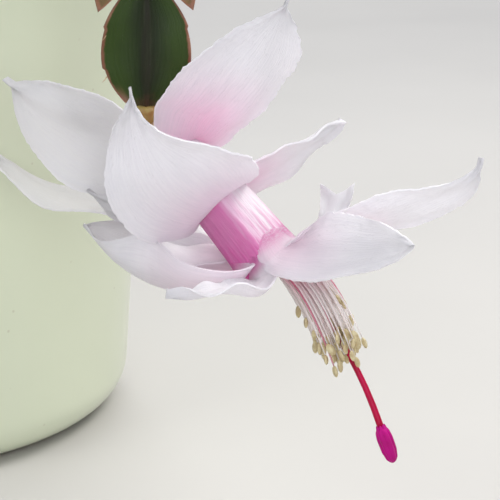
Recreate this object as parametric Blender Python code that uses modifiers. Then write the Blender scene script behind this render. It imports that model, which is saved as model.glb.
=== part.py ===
"""A potted Christmas cactus (Schlumbergera truncata) in flower.

Metres, +Z up. The origin is the centre of the pot's flat underside. The plant grows out of the
soil, its chains of flat, toothed stem segments arch over the rim, and the flowers hang from the
last segment of a chain. The open flower on stem_01 is the main one.
"""

import random
from math import cos, pi, radians, sin, sqrt

import bmesh
import bpy
import numpy as np
from mathutils import Matrix

MM = 0.001

# ---- driving dimensions -------------------------------------------------------------------
POT_HEIGHT = 110 * MM
POT_FOOT_RADIUS = 50 * MM
POT_TOP_RADIUS = 57.5 * MM
POT_CORNER = 8.5 * MM
POT_WALL = 4.5 * MM
SOIL_TOP = 98 * MM
GAP = 0.3 * MM                    # clearance between pieces that touch

WOOD_RADIUS = 2.6 * MM            # round woody foot of every stem
WOOD_DEPTH = 8 * MM               # how far it goes down into the soil
WOOD_FOOT = 6 * MM                # and how far it stands out of it
MARGIN_HALF = 0.45 * MM           # half thickness of a segment at its edge
RIB_HALF = 1.5 * MM               # and at its midrib

TUBE_LENGTH_STATIONS = ((0, 1.9), (3, 3.2), (8, 4.3), (14, 4.9), (24, 5.3), (34, 5.7))
TUBE_WALL = 1.1 * MM
PETAL_THICKNESS = 0.7 * MM

# ---- colours ------------------------------------------------------------------------------
CELADON = (0.70, 0.76, 0.52)
SOIL_BROWN = (0.045, 0.028, 0.018)
LEAF_GREEN = (0.045, 0.10, 0.018)
OVARY_GREEN = (0.32, 0.36, 0.10)
PETAL_WHITE = (0.86, 0.80, 0.85)
STAMEN_WHITE = (0.90, 0.80, 0.78)
STYLE_CRIMSON = (0.60, 0.01, 0.12)
BUD_PINK = (0.80, 0.42, 0.56)

for old in list(bpy.data.objects):
    bpy.data.objects.remove(old, do_unlink=True)
plant = bpy.data.collections.new("Potted Christmas cactus")
cutters = bpy.data.collections.new("Cutters")
bpy.context.scene.collection.children.link(plant)
bpy.context.scene.collection.children.link(cutters)


# ---- general helpers ----------------------------------------------------------------------
def material(name, colour, roughness):
    made = bpy.data.materials.new(name)
    made.use_nodes = True
    shader = made.node_tree.nodes["Principled BSDF"]
    shader.inputs["Base Color"].default_value = (*colour, 1)
    shader.inputs["Roughness"].default_value = roughness
    shader.inputs["Metallic"].default_value = 0
    return made


def mesh_object(name, points, faces, look=None, collection=plant):
    mesh = bpy.data.meshes.new(name)
    mesh.from_pydata([tuple(p) for p in points], [], faces)
    obj = bpy.data.objects.new(name, mesh)
    collection.objects.link(obj)
    if look:
        mesh.materials.append(look)
    return obj


def face_outwards(mesh):
    bm = bmesh.new()
    bm.from_mesh(mesh)
    bmesh.ops.recalc_face_normals(bm, faces=bm.faces)
    bm.to_mesh(mesh)
    bm.free()


def loft(name, rings, look=None, collection=plant):
    """A closed body through rings of equally many points, with a flat cap at each end."""
    count = len(rings[0])
    points = [p for ring in rings for p in ring]
    faces = []
    for i in range(len(rings) - 1):
        for j in range(count):
            a, b = i * count + j, i * count + (j + 1) % count
            faces += [(a, b, b + count), (a, b + count, a + count)]
    faces.append(tuple(range(count))[::-1])
    faces.append(tuple(range(len(points) - count, len(points))))
    obj = mesh_object(name, points, faces, look, collection)
    face_outwards(obj.data)
    return obj


def turned(name, profile, steps, look):
    """A solid of revolution: the profile runs from the axis, up the outside, back to the axis."""
    points = [(r, 0, z) for r, z in profile]
    obj = mesh_object(name, points, [], look)
    obj.data.edges.add(len(points) - 1)
    for i, edge in enumerate(obj.data.edges):
        edge.vertices = (i + 1, i)
    screw = obj.modifiers.new("Turn", "SCREW")
    screw.steps = screw.render_steps = steps
    screw.use_merge_vertices = True
    screw.merge_threshold = 0.00005
    screw.use_normal_calculate = True
    return obj


def apply_modifiers(obj):
    graph = bpy.context.evaluated_depsgraph_get()
    mesh = bpy.data.meshes.new_from_object(obj.evaluated_get(graph))
    obj.modifiers.clear()
    obj.data = mesh


def join_all(base, pieces, solver="EXACT"):
    """One Boolean union of the base with every piece of a collection, applied."""
    union = base.modifiers.new("Grow together", "BOOLEAN")
    union.operation = "UNION"
    union.operand_type = "COLLECTION"
    union.collection = pieces
    union.solver = solver
    apply_modifiers(base)
    for piece in list(pieces.objects):
        bpy.data.objects.remove(piece, do_unlink=True)
    bpy.data.collections.remove(pieces)


def unit(v):
    return v / np.linalg.norm(v)


# ---- pot and soil -------------------------------------------------------------------------
def arc(centre, radius, start, end, steps):
    return [
        (centre[0] + radius * cos(radians(a)), centre[1] + radius * sin(radians(a)))
        for a in np.linspace(start, end, steps + 1)
    ]


def pot_radius(z):
    """Outer radius of the pot's slightly flared wall."""
    return POT_FOOT_RADIUS + (POT_TOP_RADIUS - POT_FOOT_RADIUS) * z / POT_HEIGHT


def make_pot():
    lip = POT_WALL / 2
    inner_foot = pot_radius(POT_CORNER) - POT_WALL
    floor = 8 * MM
    profile = [(0, 0)]
    profile += arc((POT_FOOT_RADIUS + 0.4 * MM - POT_CORNER, POT_CORNER), POT_CORNER, -90, 0, 5)
    profile += arc((POT_TOP_RADIUS - lip, POT_HEIGHT - lip), lip, 0, 180, 4)
    profile += arc((inner_foot - 5 * MM, floor + 5 * MM), 5 * MM, 0, -90, 2)
    profile.append((0, floor))
    return turned("pot", profile, 48, material("Glazed celadon", CELADON, 0.25))


def make_soil(roots):
    floor = 8 * MM + GAP
    inner = pot_radius(POT_CORNER) - POT_WALL - GAP
    top = POT_TOP_RADIUS - POT_WALL - GAP - 1.4 * MM
    profile = [(0, floor)]
    profile += arc((inner - 5 * MM, floor + 5 * MM), 5 * MM, -90, 0, 2)
    profile += [(top, SOIL_TOP - 2 * MM), (top - 4 * MM, SOIL_TOP), (0, SOIL_TOP)]
    soil = turned("soil", profile, 32, material("Potting soil", SOIL_BROWN, 0.95))
    holes = bpy.data.collections.new("Root holes")
    cutters.children.link(holes)
    for x, y, _ in roots:
        bpy.ops.mesh.primitive_cylinder_add(
            vertices=8, radius=WOOD_RADIUS + 3 * GAP, depth=2 * (WOOD_DEPTH + GAP),
            location=(x, y, SOIL_TOP),
        )
        hole = bpy.context.object
        hole.name = "Root hole"
        hole.hide_render = True
        hole.display_type = "WIRE"
        for owner in list(hole.users_collection):
            owner.objects.unlink(hole)
        holes.objects.link(hole)
    cut = soil.modifiers.new("Root holes", "BOOLEAN")
    cut.operand_type = "COLLECTION"
    cut.collection = holes
    return soil


# ---- stems --------------------------------------------------------------------------------
# One flat segment from joint to joint: (rib station, edge station, half width), as parts of
# its length and of its half width. Teeth point forwards, and two claws pass the next joint.
SEGMENT_ROWS = (
    (0.00, 0.00, 0.24), (0.13, 0.13, 0.52), (0.28, 0.37, 0.93), (0.38, 0.41, 0.88),
    (0.56, 0.72, 1.00), (0.68, 0.76, 0.92), (0.82, 1.18, 0.80), (0.95, 0.985, 0.34),
)


class Stem:
    """A chain of flat segments on a spine that leaves the soil upright, arches and hangs.

    segments: (length, width, pitch) each, pitch being its angle from upright in degrees.
    azimuth is the compass direction it leans to, drift its turn from end to end, and twist
    turns the flat faces about the spine by the last segment. A branch has no woody foot and
    starts, at the pitch given, inside the segment that it grows from.
    """

    def __init__(self, root, azimuth, segments, drift=0.0, twist=0.0, branch_pitch=None):
        self.root, self.segments = np.array(root), segments
        self.woody = branch_pitch is None
        first = WOOD_FOOT if self.woody else 0.0
        self.starts = first + np.cumsum([0.0] + [s[0] for s in segments])
        self.total = self.starts[-1]
        centres = [(a + b) / 2 for a, b in zip(self.starts, self.starts[1:])]
        pitches = [s[2] for s in segments]
        if self.woody:
            knots, pitches = [-WOOD_DEPTH, 1 * MM, *centres], [0.0, 0.0, *pitches]
        else:
            knots, pitches = [0.0, *centres], [branch_pitch, *pitches]
        self.s = np.arange(knots[0], self.total + 6 * MM, 0.5 * MM)
        pitch = np.radians(np.interp(self.s, knots, pitches))
        part = np.clip(self.s / self.total, 0, 1)
        self.heading = azimuth + drift * part
        heading = np.radians(self.heading)
        self.pitch = np.degrees(pitch)
        flat = np.stack([np.cos(heading), np.sin(heading), 0 * part], -1)
        up = np.array([0.0, 0.0, 1.0])
        self.along = np.sin(pitch)[:, None] * flat + np.cos(pitch)[:, None] * up
        upper = -np.cos(pitch)[:, None] * flat + np.sin(pitch)[:, None] * up
        across = np.cross(self.along, upper)
        turn = np.radians(twist) * part[:, None] ** 2
        self.across = np.cos(turn) * across + np.sin(turn) * upper
        self.face = np.cross(self.across, self.along)
        steps = np.vstack([np.zeros(3), self.along[:-1] * 0.5 * MM])
        self.centre = np.cumsum(steps, axis=0) + self.root

    def at(self, s):
        """Point, direction along, direction across and face normal at a spine length."""
        return tuple(
            np.array([np.interp(s, self.s, table[:, k]) for k in range(3)])
            for table in (self.centre, self.along, self.across, self.face)
        )

    def tip(self):
        return self.at(self.total)

    def branch(self, joint, side, segments):
        """A side chain from the end of a segment, spreading to one side (+1 or -1)."""
        s = self.starts[joint] - 2.5 * MM
        point, _, across, _ = self.at(s)
        heading = np.interp(s, self.s, self.heading)
        pitch = np.interp(s, self.s, self.pitch)
        return Stem(point + side * 1.6 * MM * across, heading - side * 34, segments,
                    twist=-12 * side, branch_pitch=pitch)

    def ring(self, rib_at, edge_at, half_width, rib_half, edge_half):
        centre, _, _, face = self.at(rib_at)
        edge, _, across, edge_face = self.at(edge_at)
        left, right = edge - across * half_width, edge + across * half_width
        return [
            left + edge_face * edge_half, centre + face * rib_half,
            right + edge_face * edge_half, right - edge_face * edge_half,
            centre - face * rib_half, left - edge_face * edge_half,
        ]

    def rings(self):
        rings = []
        if self.woody:
            wood = (WOOD_RADIUS, WOOD_RADIUS, WOOD_RADIUS / 2)
            rings = [self.ring(s, s, *wood) for s in (-WOOD_DEPTH, 1 * MM)]
        for start, (length, width, _) in zip(self.starts, self.segments):
            last = start == self.starts[-2]
            for rib, edge, wide in SEGMENT_ROWS:
                if last and edge > 1:
                    edge, wide = 0.96, 0.64
                rib_half = RIB_HALF * (0.83 + 0.17 * min(1.0, 3 * rib, 3 * (1 - rib)))
                edge_half = MARGIN_HALF + (1 - min(1.0, 5 * rib, 8 * (1 - rib))) * 0.3 * MM
                rings.append(
                    self.ring(start + rib * length, start + edge * length,
                              wide * width / 2, rib_half, edge_half)
                )
        rings.append(self.ring(self.total, self.total, 3.1 * MM, 1.1 * MM, 0.6 * MM))
        return rings


def main_stem():
    """The chain over the rim that carries the main flower."""
    lengths = (26, 25.5, 27, 27, 27, 21)
    widths = (13, 17, 18.5, 19, 20, 15)
    pitches = (10, 43, 96, 145, 177, 181)
    segments = [(l * MM, w * MM, p) for l, w, p in zip(lengths, widths, pitches)]
    return Stem((13.0 * MM, -13.9 * MM, SOIL_TOP - WOOD_DEPTH), -47, segments, twist=-43)


def chain(draw, lengths, first, end):
    """Segments whose pitch goes from first to end, each a little off the rule."""
    steps = max(1, len(lengths) - 1)
    widths = (14, 18, 20, 20.5, 18.5)
    return [
        (length * draw.uniform(0.93, 1.07) * MM, widths[i] * draw.uniform(0.95, 1.05) * MM,
         first + (end - first) * (i / steps) ** 1.1 + draw.uniform(-3, 3))
        for i, length in enumerate(lengths)
    ]


def other_stems():
    """The rest of the plant: a middle chain, five standing round it, and seven that arch
    over the rim. They hang lowest away from the main flower's side."""
    draw = random.Random(11)
    stems = []

    def plant_one(azimuth, radius, lengths, first, end):
        root = (radius * cos(radians(azimuth)), radius * sin(radians(azimuth)),
                SOIL_TOP - WOOD_DEPTH)
        stems.append(Stem(root, azimuth + draw.uniform(-4, 4), chain(draw, lengths, first, end),
                          drift=draw.uniform(-10, 10), twist=draw.uniform(-30, 30)))

    for k in range(1, 8):
        azimuth = -47 + 45 * k
        lean = 0.5 - 0.5 * cos(radians(azimuth - 20))
        plant_one(azimuth, 28 * MM, (27, 29, 29, 28, 25)[:5 if lean > 0.1 else 4], 16,
                  102 + 68 * lean)
    for k in range(5):
        plant_one(-11 + 72 * k, 14 * MM, (25, 27, 27, 24), 9, 66 + 8 * (k % 3))
    plant_one(120, 2 * MM, (26, 27, 25), 4, 22)
    return stems


# ---- flowers ------------------------------------------------------------------------------
class Throat:
    """Centre line of a flower's tube: a quadratic curve from the ovary to the mouth."""

    def __init__(self, start, middle, mouth):
        t = np.linspace(0, 1, 120)[:, None]
        self.line = (1 - t) ** 2 * start + 2 * t * (1 - t) * middle + t * t * mouth
        step = np.linalg.norm(np.diff(self.line, axis=0), axis=1)
        self.length_at = np.concatenate([[0], np.cumsum(step)])
        self.length = self.length_at[-1]

    def at(self, along):
        """Point, axis, upper side and right-hand side at a length along the tube."""
        inside = min(max(along, 0.0), self.length)
        point = np.array([np.interp(inside, self.length_at, self.line[:, k]) for k in range(3)])
        i = int(np.clip(np.searchsorted(self.length_at, inside), 1, len(self.line) - 1))
        axis = unit(self.line[i] - self.line[i - 1])
        upper = unit(np.array([0, 0, 1.0]) - axis * axis[2])
        return point + axis * (along - inside), axis, upper, np.cross(axis, upper)

    def radius(self, along):
        stations, radii = zip(*TUBE_LENGTH_STATIONS)
        return np.interp(along / MM, stations, radii) * MM

    def ring(self, along, radius, sides):
        point, _, upper, side = self.at(along)
        return [
            point + radius * (cos(a) * upper + sin(a) * side)
            for a in np.arange(sides) * 2 * pi / sides
        ]


# Petals of an open flower. turn: round the tube from its upper side, degrees. along: where it
# leaves the tube. lean: its angle from the tube's axis, and curl: how much further it bends by
# the tip (ease under 1 bends early). roll, swing, sweep: turned about its own line, turned in
# its own plane at the root, and turned further by the tip. cup: edges curled in, or out below 0.
# full: where it is widest. foot: width at the root. point: how fast it narrows to the tip.
# far: what differs on its other side, and fold: how much further that side curls.
PETAL = dict(roll=0, swing=0, sweep=0, cup=20, ease=1.0, full=0.5, foot=0.4, point=0.9, hook=0,
             fold=0, far={})
PETALS = (
    dict(turn=-4, along=7, length=30, width=18, lean=86, curl=26, roll=42, full=0.6, foot=1.0,
         far=dict(full=0.65, foot=0.9, width=14)),
    dict(turn=80, along=18, length=32, width=20, lean=50, curl=122, ease=0.4, swing=4, sweep=-44,
         full=0.45, foot=0.6, point=1.0, fold=40, far=dict(full=0.4, foot=0.7, point=2.0, width=28)),
    dict(turn=135, along=7, length=31, width=19.5, lean=141, curl=36, ease=0.7, roll=-35,
         foot=0.5),
    dict(turn=181, along=12, length=43, width=12, lean=96, curl=70, ease=0.6, foot=0.6),
    dict(turn=150, along=17, length=20, width=7, lean=120, curl=50, roll=-40),
    dict(turn=-50, along=17, length=22.5, width=10.5, lean=74, curl=18, roll=20, full=0.2,
         foot=0.95, point=0.8),
    dict(turn=165, along=30.5, length=33, width=22, lean=100, curl=75, ease=0.6, cup=-100,
         roll=24, full=0.55, foot=0.6, point=0.6, fold=-140,
         far=dict(full=0.35, foot=0.45, point=1.3, width=36)),
    dict(turn=195, along=26, length=22, width=13, lean=125, curl=30, foot=0.6),
    dict(turn=50, along=31.5, length=25, width=10, lean=54, curl=68, ease=0.5, swing=50, roll=20,
         full=0.3, foot=0.9),
    dict(turn=26, along=31, length=34, width=12, lean=60, curl=8, cup=-40, roll=-40, full=0.35,
         foot=0.8, point=0.7),
    dict(turn=-10, along=31.5, length=37, width=11, lean=60, curl=18, cup=-30, roll=40, hook=60,
         full=0.45, foot=0.6, far=dict(full=0.75, foot=0.25, width=9)),
    dict(turn=-70, along=31.5, length=16.5, width=8, lean=80, curl=60, cup=60, roll=-30,
         full=0.88, foot=0.4, point=0.2),
)


def petal_outline(v, p):
    """Half width of one side of a petal at v, from root to tip."""
    full, foot = p["full"], p["foot"]
    if v < full:
        part = foot + (1 - foot) * sin(pi / 2 * v / full)
    else:
        part = max(0.0, cos(pi / 2 * (v - full) / (1 - full))) ** p["point"]
    return part * p["width"] / 2 * MM


def petal_grid(throat, rows, columns, opened, shape):
    """Points of a petal's middle surface, row by row, the last row being its tip alone."""
    p = {**PETAL, **shape}
    along = p["along"] * MM
    start, axis, upper, side = throat.at(along)
    turn = radians(p["turn"])
    out = cos(turn) * upper + sin(turn) * side
    round_tube = np.cross(axis, out)
    radius = throat.radius(along) - TUBE_WALL / 2
    centre, grid = start + out * radius, []
    fine = 6
    for i in range(rows * fine + 1):
        v = i / (rows * fine)
        angle = radians((p["lean"] + p["curl"] * v ** p["ease"]) * opened
                        + p["hook"] * max(0.0, (v - 0.75) / 0.25) ** 2)
        forward = cos(angle) * axis + sin(angle) * out
        back = cos(angle) * out - sin(angle) * axis
        in_plane = radians(p["swing"] + p["sweep"] * v)
        line = cos(in_plane) * forward + sin(in_plane) * round_tube
        across = cos(in_plane) * round_tube - sin(in_plane) * forward
        roll = radians(p["roll"])
        across, back = cos(roll) * across + sin(roll) * back, cos(roll) * back - sin(roll) * across
        if i % fine == 0:
            hug = max(0.0, 1 - v / 0.25) ** 2
            row = []
            for j in range(columns + 1):
                u = 2 * j / columns - 1
                half = petal_outline(v, {**p, **p["far"]} if u < 0 else p)
                curve = radians(p["cup"] + (p["fold"] if u < 0 else 0)) / 2
                free = centre + half * (sin(u * curve) * across + (cos(u * curve) - 1) * back) / curve
                most = 0.5 * columns
                wrap = turn + min(most, max(-most, u * half / radius))
                seat = start + radius * (cos(wrap) * upper + sin(wrap) * side)
                row.append(free + (seat - free) * hug)
            grid.append(row)
        centre = centre + line * p["length"] * MM / (rows * fine)
    grid[-1] = [grid[-1][columns // 2]]
    return grid


def petal_object(name, grid, collection):
    columns = len(grid[0])
    points = [p for row in grid for p in row]
    faces = []
    for i in range(len(grid) - 2):
        for j in range(columns - 1):
            a = i * columns + j
            faces += [(a, a + 1, a + columns + 1), (a, a + columns + 1, a + columns)]
    last = (len(grid) - 2) * columns
    faces += [(last + j, last + j + 1, len(points) - 1) for j in range(columns - 1)]
    obj = mesh_object(name, points, faces, None, collection)
    skin = obj.modifiers.new("Thickness", "SOLIDIFY")
    skin.thickness = PETAL_THICKNESS
    skin.offset = 0
    return obj


def stalk(name, points, radii, sides, collection):
    """A round stalk through points, thicker or thinner by radii: a bevelled curve, as a mesh."""
    curve = bpy.data.curves.new(name, "CURVE")
    curve.dimensions = "3D"
    curve.bevel_depth = 1 * MM
    curve.bevel_resolution = max(0, sides // 2 - 2)
    curve.use_fill_caps = True
    line = curve.splines.new("POLY")
    line.points.add(len(points) - 1)
    for spot, place, radius in zip(line.points, points, radii):
        spot.co = (*place, 1)
        spot.radius = radius / (1 * MM)
    guide = bpy.data.objects.new(name, curve)
    bpy.context.scene.collection.objects.link(guide)
    graph = bpy.context.evaluated_depsgraph_get()
    mesh = bpy.data.meshes.new_from_object(guide.evaluated_get(graph))
    bpy.data.objects.remove(guide, do_unlink=True)
    bm = bmesh.new()
    bm.from_mesh(mesh)
    bmesh.ops.remove_doubles(bm, verts=bm.verts, dist=0.01 * MM)
    bmesh.ops.triangulate(bm, faces=bm.faces)
    bmesh.ops.recalc_face_normals(bm, faces=bm.faces)
    bm.to_mesh(mesh)
    bm.free()
    obj = bpy.data.objects.new(name, mesh)
    collection.objects.link(obj)
    return obj


def make_tube(name, throat, sides, look):
    """The flower's tube, hollow from the mouth back to where the stamens spring."""
    mouth = throat.length - 1.5 * MM
    outer = [throat.ring(s, throat.radius(s), sides)
             for s in (0.4 * MM, 2.5 * MM, 7 * MM, 14 * MM, 24 * MM, mouth)]
    inner = [throat.ring(s, throat.radius(s) - TUBE_WALL, sides)
             for s in (mouth, 22 * MM, 14 * MM)]
    return loft(name, outer + inner, look)


def off_axis(throat, along):
    """How far a stalk is from the tube's axis: near its upper side, then sinking by its weight."""
    upper = throat.at(along)[2]
    rise = np.clip((along - 16 * MM) / (17 * MM), 0, 1) * 1.6 * MM
    beyond = max(0.0, along - throat.length)
    return upper * rise + np.array([-0.04, 0.0, -0.33]) * beyond ** 2 / (beyond + 5 * MM)


def make_stamens(name, throat, number, look):
    """Filaments in a ring inside the tube, each ending in an anther beyond the mouth."""
    draw = random.Random(5)
    sides = 12
    back, front = 14.4 * MM, 16.2 * MM
    wide = throat.radius(back) - TUBE_WALL - GAP
    collar = [throat.ring(back, wide, sides), throat.ring(front, wide - 0.1 * MM, sides),
              throat.ring(front, 1.3 * MM, sides), throat.ring(back, 1.3 * MM, sides)]
    points = [p for ring in collar for p in ring]
    faces = []
    for i in range(4):
        for j in range(sides):
            a, b = i * sides + j, i * sides + (j + 1) % sides
            c, d = ((i + 1) % 4) * sides + (j + 1) % sides, ((i + 1) % 4) * sides + j
            faces += [(a, b, c), (a, c, d)]
    base = mesh_object(name, points, faces, look)
    face_outwards(base.data)
    pieces = bpy.data.collections.new("Filaments")
    bpy.context.scene.collection.children.link(pieces)
    for k in range(number):
        angle = 2 * pi * k / number
        reach = draw.uniform(5, 15.5) * MM
        spread = draw.uniform(-0.9, 1.8) * MM
        start_at = 15.3 * MM
        spine = []
        for v in (0, 0.5, 0.75, 1):
            along = start_at + v * (throat.length - start_at + reach)
            point, _, upper, side = throat.at(along)
            off = 2.4 * MM + spread * v ** 3
            spine.append(point + off * (cos(angle) * upper + sin(angle) * side)
                         + off_axis(throat, along))
        tip = unit(spine[-1] - spine[-2])
        spine += [spine[-1] + tip * d * MM for d in (0.5, 1.9, 2.4)]
        radii = [r * MM for r in (0.36, 0.36, 0.34, 0.34, 0.7, 0.7, 0.3)]
        stalk("Filament", spine, radii, 4, pieces)
    join_all(base, pieces)
    return base


def make_pistil(name, throat, look):
    """The style, which outreaches the stamens, and its ridged club of a stigma."""
    spine = []
    reach = 26 * MM
    start_at = 14.6 * MM
    for v in np.linspace(0, 1, 9):
        along = start_at + v * (throat.length - start_at + reach)
        spine.append(throat.at(along)[0] + off_axis(throat, along))
    tip = unit(spine[-1] - spine[-2])
    club = ((0.6, 1.0), (2.0, 1.55), (4.2, 1.6), (5.6, 1.2), (6.2, 0.5))
    radii = [0.5 * MM] * len(spine) + [r * MM for _, r in club]
    spine += [spine[-1] + tip * d * MM for d, _ in club]
    obj = stalk(name, spine, radii, 8, plant)
    obj.data.materials.append(look)
    return obj


def make_ovary(name, tip, down, throat, look):
    """The small green body that turns from the hanging stem's tip into the tube."""
    end, axis, _, side = throat.at(0.1 * MM)
    start = tip + down * GAP
    bend = start + down * 1.2 * MM
    rings = []
    for v, radius in ((0, 2.2), (0.3, 2.5), (0.7, 2.3), (1, 1.85)):
        centre = (1 - v) ** 2 * start + 2 * v * (1 - v) * bend + v * v * end
        line = unit((1 - v) * down + v * axis)
        front = unit(np.cross(side, line))
        rings.append([centre + radius * MM * (cos(a) * front + sin(a) * side)
                      for a in np.arange(8) * pi / 4])
    return loft(name, rings, look)


def make_flower(number, stem, yaw, opened, rows, columns, stamens, looks):
    """An open flower that hangs from a stem's tip and points outwards, turned by yaw."""
    tip, along, _, _ = stem.tip()
    turn = np.array(Matrix.Rotation(radians(yaw), 3, "Z"))
    first = tip + along * 3.2 * MM + turn @ np.array([0.6, -0.3, 0.0]) * MM
    middle = first + turn @ np.array([10.9, -4.0, -10.3]) * MM
    mouth = first + turn @ np.array([21.8, -10.7, -22.7]) * MM
    throat = Throat(first, middle, mouth)
    make_ovary(f"flower_{number}_ovary", tip, along, throat, looks["ovary"])
    tube = make_tube(f"flower_{number}_petals", throat, 12, looks["petal"])
    pieces = bpy.data.collections.new("Petals")
    bpy.context.scene.collection.children.link(pieces)
    for shape in PETALS:
        petal_object("Petal", petal_grid(throat, rows, columns, opened, shape), pieces)
    join_all(tube, pieces)
    make_stamens(f"flower_{number}_stamens", throat, stamens, looks["stamen"])
    make_pistil(f"flower_{number}_pistil", throat, looks["style"])


def make_bud(number, stem, yaw, length, look):
    """A closed bud: ovary and wrapped petals grown as one body."""
    tip, along, _, _ = stem.tip()
    turn = np.array(Matrix.Rotation(radians(yaw), 3, "Z"))
    first = tip + along * GAP
    reach = length / (33 * MM)
    throat = Throat(first, first + along * 15 * MM * reach,
                    first + turn @ np.array([16, 0, -28.0]) * MM * reach)
    shape = ((0, 1.9), (0.08, 2.4), (0.16, 1.9), (0.32, 3.2), (0.56, 4.1), (0.76, 3.6),
             (0.92, 1.8), (1.0, 0.4))
    rings = [throat.ring(v * throat.length, r * MM * sqrt(reach), 8) for v, r in shape]
    return loft(f"bud_{number}", rings, look)


# ---- the whole plant ----------------------------------------------------------------------
BRANCHES = {3: (1, 1), 5: (2, -1), 8: (2, 1)}              # stem: (joint, side)
BUDS = ((5, 133, 30), (8, 268, 24), (4, 88, 18))           # stem, compass turn, length in mm

leaf = material("Segment green", LEAF_GREEN, 0.45)
looks = dict(
    ovary=material("Ovary green", OVARY_GREEN, 0.5),
    petal=material("White petal", PETAL_WHITE, 0.55),
    stamen=material("White stamens", STAMEN_WHITE, 0.5),
    style=material("Crimson style", STYLE_CRIMSON, 0.4),
)
bud = material("Pink bud", BUD_PINK, 0.5)
stems = [main_stem(), *other_stems()]
make_pot()
make_soil([stem.root for stem in stems])
for number, stem in enumerate(stems, 1):
    body = loft(f"stem_{number:02d}", stem.rings(), leaf)
    if number in BRANCHES:
        joint, side = BRANCHES[number]
        pieces = bpy.data.collections.new("Branch")
        bpy.context.scene.collection.children.link(pieces)
        pitch = stem.segments[joint][2]
        twig = stem.branch(joint, side, [(25 * MM, 16 * MM, pitch), (24 * MM, 17 * MM, pitch + 30)])
        loft("Branch", twig.rings(), None, pieces)
        join_all(body, pieces)
make_flower(1, stems[0], 0, 1.0, 8, 4, 16, looks)
make_flower(2, stems[6], 268, 0.93, 5, 2, 8, looks)
for number, (stem, yaw, length) in enumerate(BUDS, 1):
    make_bud(number, stems[stem - 1], yaw, length * MM, bud)
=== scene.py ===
# %% [markdown]
# # A potted Christmas cactus in flower
#
# A Schlumbergera truncata grows in a pale glazed pot. Chains of flat, toothed stem segments arch
# over the rim, and one open, white-pink flower hangs beside the pot. The plant's solids are
# already there, plain and coarse. This script grows a finer piece over each of them and gives
# it its finish. All lengths are in metres, so MM turns a maker's millimetres into them.

# %% Load the plain plant
import random
from math import cos, pi, radians, sin, sqrt

import bmesh
import bpy
import numpy as np
from mathutils import Matrix, Vector, noise


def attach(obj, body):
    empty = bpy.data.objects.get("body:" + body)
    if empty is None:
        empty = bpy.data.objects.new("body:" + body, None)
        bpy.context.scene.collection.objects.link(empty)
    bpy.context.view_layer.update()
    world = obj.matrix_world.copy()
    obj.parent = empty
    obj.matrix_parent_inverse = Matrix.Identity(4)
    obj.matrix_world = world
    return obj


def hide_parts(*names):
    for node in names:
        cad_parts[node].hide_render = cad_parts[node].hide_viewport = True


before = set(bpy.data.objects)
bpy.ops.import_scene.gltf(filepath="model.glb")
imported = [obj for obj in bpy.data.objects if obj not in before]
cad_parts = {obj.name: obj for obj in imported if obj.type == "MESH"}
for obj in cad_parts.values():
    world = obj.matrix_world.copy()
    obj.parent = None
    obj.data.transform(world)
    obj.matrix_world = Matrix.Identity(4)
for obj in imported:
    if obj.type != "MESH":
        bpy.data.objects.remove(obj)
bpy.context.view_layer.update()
MM = 0.001

# %% [markdown]
# ## Camera
# The camera looks at the hanging flower from a hand's breadth above it, through a long lens, so
# that the petals aren't stretched towards the edges. Most of the plant lies outside this view.


# %% Camera
def look_at(obj, target):
    """Turns a camera or a lamp, which look along their own -z, towards a place."""
    way = Vector(target) * MM - obj.location
    obj.rotation_euler = way.to_track_quat("-Z", "Y").to_euler()
    return way.length / MM


bpy.ops.object.camera_add(location=Vector((77, -358.4, 135.2)) * MM)
camera = bpy.context.object
camera.name = "Flower camera"
camera.data.lens = 127.1
camera.data.sensor_width = 36
camera.data.clip_start = 5 * MM
bpy.context.scene.camera = camera
print("camera to flower in mm:", round(look_at(camera, (77, -70, 52.5))))

# %% [markdown]
# ## Light and floor
# Petals are thin, so they look alive only when light comes through them. The main lamp is a big
# soft panel above and behind the flower, on its right. A second panel lights the pot from the
# left, a third fills the front from further away, and the pale sky does the rest. The floor has
# a panel of its own, because it runs far back behind the plant.


# %% Soft studio lamps
def soft_lamp(name, place, target, size, power, colour):
    bpy.ops.object.light_add(type="AREA", location=Vector(place) * MM)
    lamp = bpy.context.object
    lamp.name = name
    lamp.data.shape = "SQUARE"
    lamp.data.size = size * MM
    lamp.data.energy = power
    lamp.data.color = colour
    look_at(lamp, target)


soft_lamp("Key panel", (330, 60, 430), (70, -70, 60), 240, 1.9, (1.0, 0.98, 0.95))
soft_lamp("Pot panel", (-330, -260, 420), (0, -20, 70), 320, 1.3, (0.97, 1.0, 0.98))
soft_lamp("Front fill", (160, -640, 260), (60, -60, 60), 480, 1.75, (0.97, 0.98, 1.0))
soft_lamp("Floor panel", (60, 1000, 900), (60, 620, 0), 900, 9.0, (1.0, 1.0, 1.0))

world = bpy.context.scene.world or bpy.data.worlds.new("Sky")
bpy.context.scene.world = world
world.use_nodes = True
sky = world.node_tree.nodes["Background"].inputs
sky["Color"].default_value = (0.86, 0.90, 1.0, 1)
sky["Strength"].default_value = 0.44
bpy.context.scene.view_settings.view_transform = "Standard"

# %% [markdown]
# ## Nodes by hand
# Every finish here is made of shader nodes. A *wire* stands for what comes out of a node, and
# from it the next node is made: plus, minus and times put a Math node on it, *ease* stretches it
# to a new range with soft ends, and *between* mixes two colours by it. An input that is given a wire
# gets joined to it, and any other value is typed into it. So a finish reads like a recipe.


# %% Wires between shader nodes
def plug(socket, value):
    """Joins a wire to an input, or types a value into it. Colours are typed without alpha."""
    if isinstance(value, Wire):
        value.tree.links.new(value.socket, socket)
    else:
        socket.default_value = (*value, 1) if socket.type == "RGBA" else value


def add_node(tree, kind, inputs=(), output=0, **settings):
    node = tree.nodes.new("ShaderNode" + kind)
    for name, value in settings.items():
        setattr(node, name, value)
    for name, value in inputs.items() if isinstance(inputs, dict) else enumerate(inputs):
        plug(node.inputs[name], value)
    return Wire(node.outputs[output])


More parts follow.
